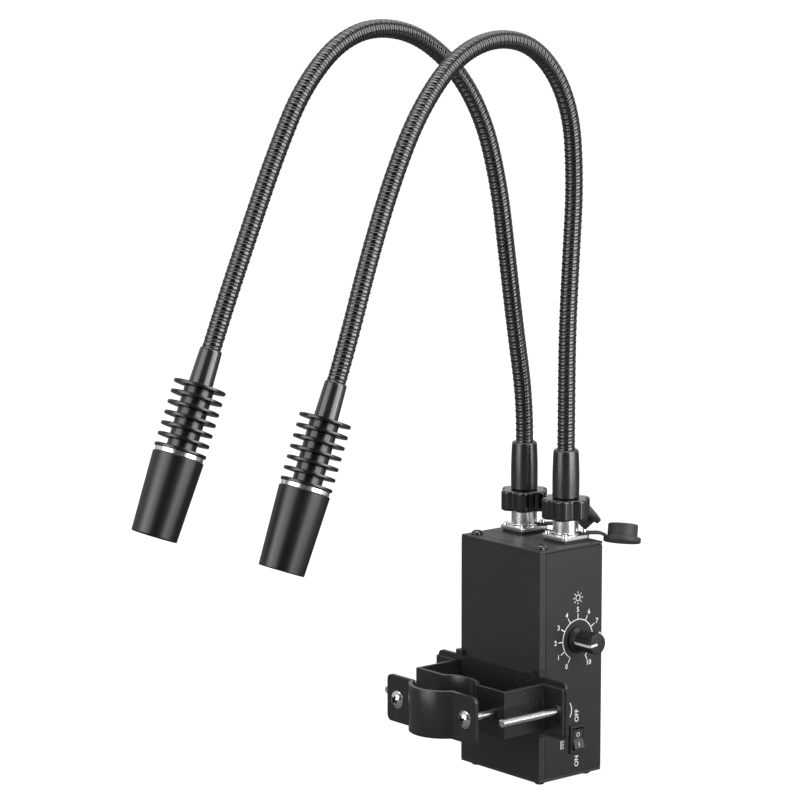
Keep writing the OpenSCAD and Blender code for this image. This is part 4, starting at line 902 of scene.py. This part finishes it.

# %% [markdown]
# ## Dust caps
# Each socket keeps a rubber cap on a strap, to close it when no lamp is plugged in. The cap is lathe
# work: a thin disc with a cup on it. The strap is a strip of rubber from an eyelet under a flange screw.

# %% Dust caps
TIE_LENGTH, STRAP_THICK, STRAP_WIDE, STRAP_MIDDLE = 6.8, 1.2, 5, 0.65
TIE = {"right": (54.0, (13, -3.25), 6.0, -16.0, [(1.6, 0), (6.8, 0), (8.4, -0.1), (10, -0.75), (12, -1.75)]),
       "left": (51.0, (16.4, 8.4), 47.0, 180.0,
                [(1.6, 0), (7.4, 0), (8.6, 0.7), (9.2, 2.4), (10, 5.4), (11.1, 8.9), (12.5, 11.9), (14.2, 14.1),
                 (16, 15), (17.8, 15)])}


def dust_cap(side, foot, place, lean, twist):
    cap_place = foot @ moved(TIE_LENGTH + place[0], 0, place[1]) @ turned(lean, "Y") @ turned(twist, "X")
    cap = bmesh.new()
    lathe(cap, [(0, -1.5), (8.9, -1.5), (9.4, -1.3), (9.6, -0.8), (9.6, 0.8), (9.4, 1.3), (8.9, 1.5), (8.2, 1.5),
                (7.8, 1.7), (7.7, 2.2), (7.7, 7.2), (7.55, 7.75), (7.2, 8.0), (6.9, 7.85), (6.7, 7.4), (6.7, 1.8),
                (6.4, 1.5), (0, 1.5)], 72)
    piece(f"{side}_cap_body", cap, f"{side}_cap", "rubber", [f"{side}_dust_cap"], cap_place)


print("strap leads:", TIE_LENGTH, "mm")

# %% [markdown]
# A strap is a few points, smoothed into a curve, drawn out to its width and thickened. It crosses the
# joint between the case and the cap, and is laid where it rests, on neither body.

# %% Straps
def cap_strap(side, foot, route):
    strap = bmesh.new()
    wire(strap, [(x, z + STRAP_MIDDLE) for x, z in route])
    bmesh.ops.subdivide_edges(strap, edges=strap.edges[:], cuts=2)
    for _ in range(4):
        bmesh.ops.smooth_vert(strap, verts=[v for v in strap.verts if len(v.link_edges) == 2], factor=0.5,
                              use_axis_x=True, use_axis_y=True, use_axis_z=True)
    bmesh.ops.translate(strap, verts=strap.verts, vec=(0, -STRAP_WIDE / 2, 0))
    grown = bmesh.ops.extrude_edge_only(strap, edges=strap.edges[:])["geom"]
    bmesh.ops.translate(strap, vec=(0, STRAP_WIDE, 0), verts=points_in(grown))
    bmesh.ops.recalc_face_normals(strap, faces=strap.faces)
    bmesh.ops.translate(strap, verts=strap.verts, vec=(0, 0, STRAP_THICK / 2))
    bmesh.ops.solidify(strap, geom=strap.faces[:], thickness=STRAP_THICK)
    level_part = [v.co.z for v in strap.verts if v.co.x < 6]
    bmesh.ops.translate(strap, verts=strap.verts,
                        vec=(0, 0, STRAP_MIDDLE - sum(level_part) / max(1, len(level_part))))
    filed(strap, 0.25, 2, 50)
    lathe(strap, [(0.98, 0.05), (2.4, 0.05), (2.6, 0.25), (2.6, 1.05), (2.4, 1.25), (0.98, 1.25)], 40, closed=True)
    part = piece(f"{side}_cap_strap", strap, None, "rubber", [f"{side}_tie"], foot)
    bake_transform(part)


for side in SIDES:
    heading, place, lean, twist, route = TIE[side]
    foot = SOCKET[side] @ moved(CORNER, CORNER, FLANGE + 0.05) @ turned(heading, "Z")
    dust_cap(side, foot, place, lean, twist)
    cap_strap(side, foot, route)

# %% [markdown]
# ## The dial panel
# The panel carries a knob, a printed dial, a rocker switch and a supply jack. A drawing on the panel is
# made flat, with x to the right and y up, and one matrix then stands it on the panel's face.

# %% Standing a drawing on the panel
FACING = Matrix(((0, 0, 1, 0), (1, 0, 0, 0), (0, 1, 0, 0), (0, 0, 0, 1)))


def on_panel(y, z, proud=0.0):
    return moved(panel_x + proud, y, z) @ FACING


dial_y, dial_z = middle("dimmer_shaft").yz
switch_y, switch_z = middle("switch_frame").yz
jack_y, jack_z = middle("dc_jack").yz
print("heights of dial, switch, jack:", [round(z, 1) for z in (dial_z, switch_z, jack_z)])

# %% [markdown]
# The panel itself is a sheet of aluminium with three openings. Its rims are filed before it slides in, so
# a thin dark groove shows between it and the case.

# %% The panel sheet
panel_low, panel_high = low("front_panel"), high("front_panel")
panel_y, panel_z = middle("front_panel").yz
GROOVE, BUSH_HOLE, JACK_HOLE, SWITCH_HOLE = 0.3, 3.65, 4.05, (8.6, 12.7)
panel_sheet = bmesh.new()
plate(panel_sheet, panel_high.y - panel_low.y - GROOVE, panel_high.z - panel_low.z - GROOVE,
      panel_high.x - panel_low.x, 0.3,
      [(dial_y - panel_y, dial_z - panel_z, BUSH_HOLE), (jack_y - panel_y, jack_z - panel_z, JACK_HOLE)],
      [(switch_y - panel_y, switch_z - panel_z, *SWITCH_HOLE)], 3)
filed(panel_sheet, 0.22, 2, 60)
piece("panel_sheet", panel_sheet, "base", "panel", ["front_panel"],
      on_panel(panel_y, panel_z, panel_low.x - panel_high.x), sharp=30)

# %% [markdown]
# The knob is turned with more steps than its roundness needs, so that its points can be pulled in to make
# the finger flutes. There is no flute beside the white pointer.

# %% Knob
FLUTES, FLUTE_R, FLUTE_RING = 18, 0.65, 5.8
FLUTE_STEP = 360 / FLUTES
DIAL_SETTING = 96
knob_place = on_panel(dial_y, dial_z) @ turned(DIAL_SETTING, "Z")
knob = bmesh.new()
lathe(knob, [(2.9, 0.6), (6.7, 0.4), (7.0, 0.6), (7.0, 1.15), (6.8, 1.4), (6.35, 2.1), (6.0, 2.5), (5.65, 3.0),
             (5.5, 3.6), (5.5, 3.9), (5.5, 14.0), (5.42, 14.45), (5.25, 14.75), (4.95, 14.95), (4.5, 15.0),
             (0, 15.0)], 180)
for v in knob.verts:
    radius = v.co.xy.length
    if v.co.z > 3.5 and radius > 4.9:
        turn = math.degrees(math.atan2(v.co.x, v.co.y)) % 360
        off = math.radians((turn % FLUTE_STEP) - FLUTE_STEP / 2)
        if FLUTE_STEP <= turn <= 360 - FLUTE_STEP and abs(FLUTE_RING * math.sin(off)) < FLUTE_R:
            floor_r = FLUTE_RING * math.cos(off) - math.sqrt(FLUTE_R ** 2 - (FLUTE_RING * math.sin(off)) ** 2)
            if radius > floor_r:
                v.co.x *= floor_r / radius
                v.co.y *= floor_r / radius
piece("knob_grip", knob, "knob", "knob", ["dimmer_knob"], knob_place, sharp=30)

# %% [markdown]
# The pointer is a strip of white plastic. Its bent outline is drawn from the side and thickened.

# %% Pointer
POINTER_WIDE = 1.2
pointer = bmesh.new()
edge_line = wire(pointer, [(0.5, 14.9), (0.5, 15.15), (0.6, 15.22), (4.9, 15.22), (5.3, 15.12), (5.6, 14.85),
                           (5.72, 14.4), (5.72, 3.7), (5.65, 3.55), (5.3, 3.55), (5.3, 14.3), (4.9, 14.8)],
                 closed=True)
bmesh.ops.contextual_create(pointer, geom=edge_line)
bmesh.ops.rotate(pointer, verts=pointer.verts, cent=(0, 0, 0),
                 matrix=Matrix.Rotation(math.radians(90), 3, "Z"))
bmesh.ops.translate(pointer, verts=pointer.verts, vec=(-POINTER_WIDE / 2, 0, 0))
thickened(pointer, POINTER_WIDE, (1, 0, 0))
piece("pointer_line", pointer, "knob", "white", ["knob_pointer"], knob_place, sharp=30)

# %% [markdown]
# The print is white ink, a sheet three hundredths of a millimetre thick on the panel, because a real edge
# of ink reads better than a picture of one.

# %% Inking tools
INK = 0.03


def ink_arc(shape, radius, width, start, sweep, steps, centre=(0, 0)):
    """A stroke along an arc, drawn anticlockwise from the x axis."""
    a, (x, y) = math.radians(start), centre
    ends = [shape.verts.new((x + r * math.cos(a), y + r * math.sin(a), 0))
            for r in (radius - width / 2, radius + width / 2)]
    edge = shape.edges.new(ends)
    bmesh.ops.spin(shape, geom=ends + [edge], cent=(x, y, 0), axis=(0, 0, 1), angle=math.radians(sweep),
                   steps=steps)


def ink_bar(shape, x, y, angle, length, width):
    """A straight stroke centred on a point."""
    bmesh.ops.create_grid(shape, x_segments=1, y_segments=1, size=0.5,
                          matrix=moved(x, y) @ turned(angle, "Z") @ Matrix.Diagonal((length, width, 1, 1)))


def ink_words(shape, words, size, x, y, angle=0.0, bold=0.05):
    """Letters in Blender's own plain face, centred on a point."""
    curve = bpy.data.curves.new("letters", "FONT")
    curve.body, curve.size, curve.align_x, curve.align_y = words, size, "CENTER", "CENTER"
    curve.resolution_u, curve.offset = 3, bold
    holder = bpy.data.objects.new("letters", curve)
    mesh = bpy.data.meshes.new_from_object(holder)
    mesh.transform(moved(x, y) @ turned(angle, "Z"))
    shape.from_mesh(mesh)
    bpy.data.objects.remove(holder)
    bpy.data.curves.remove(curve)
    bpy.data.meshes.remove(mesh)


def printed(name, shape, place, body="base"):
    """Gives a drawing the ink's thickness and ends it."""
    thickened(shape, INK, (0, 0, 1))
    piece(name, shape, body, "white", (), place, sharp=30)


print("ink:", INK, "mm")

# %% Dial and brightness sign
RING, TICK_RING, NUMBER_RING = 10.3, 11.8, 15.3
DIAL_START, DIAL_SWEEP = 240, 300
dial = bmesh.new()
ink_arc(dial, RING, 0.45, DIAL_START - DIAL_SWEEP, DIAL_SWEEP, 100)
for k in range(11):
    turn = math.radians(DIAL_START - DIAL_SWEEP / 10 * k)
    ink_bar(dial, TICK_RING * math.cos(turn), TICK_RING * math.sin(turn), math.degrees(turn), 3.0, 0.5)
    ink_words(dial, str(k), 3.6, NUMBER_RING * math.cos(turn), NUMBER_RING * math.sin(turn))
printed("dial_print", dial, on_panel(dial_y, dial_z))

SUN_Y, SUN_R, RAY_RING, RAYS = 21.5, 1.5, 2.85, 8
signs = bmesh.new()
ink_arc(signs, SUN_R, 0.4, 0, 360, 32, (0, SUN_Y))
for k in range(RAYS):
    turn = math.radians(360 / RAYS * k)
    ink_bar(signs, RAY_RING * math.cos(turn), SUN_Y + RAY_RING * math.sin(turn), math.degrees(turn), 1.0, 0.4)
printed("brightness_sign", signs, on_panel(dial_y, dial_z))

# %% [markdown]
# The two marks on the rocker ride its body and lean with its two faces. The supply jack has an arc round
# it and the sign for direct current.

# %% Switch and supply signs
ROCKER_FACE = panel_x + 1.31
words = bmesh.new()
ink_words(words, "OFF", 3.75, 0.3, 12.0, 90, 0.03)
ink_words(words, "ON", 3.75, 0.3, -11.8, 90)
printed("switch_words", words, on_panel(switch_y, switch_z))

for sign, height, tilt in (("off", 2.4, 2.0), ("on", -2.5, -19.0)):
    mark = bmesh.new()
    if sign == "off":
        ink_arc(mark, 1.0, 0.34, 0, 360, 32)
    else:
        ink_bar(mark, 0, 0, 90, 2.1, 0.32)
    slope = math.tan(math.radians(tilt)) * height
    printed(f"rocker_{sign}_mark", mark,
            moved(ROCKER_FACE + slope, switch_y, switch_z + height) @ turned(tilt, "Y") @ FACING, "switch_rocker")

SUPPLY_Y = -17.4
supply = bmesh.new()
ink_arc(supply, 6.3, 0.55, -36, 72, 32)
ink_bar(supply, -0.9, SUPPLY_Y, 90, 4.4, 0.45)
for k in (-1, 0, 1):
    ink_bar(supply, 0.5, SUPPLY_Y + 1.6 * k, 90, 1.1, 0.45)
printed("supply_sign", supply, on_panel(jack_y, jack_z))

# %% Sizes and finish
visual_box = [list(corner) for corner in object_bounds()]
for label, box in (("cad", cad_box), ("visual", visual_box)):
    print(label, [[round(v * 1000, 1) for v in corner] for corner in box])
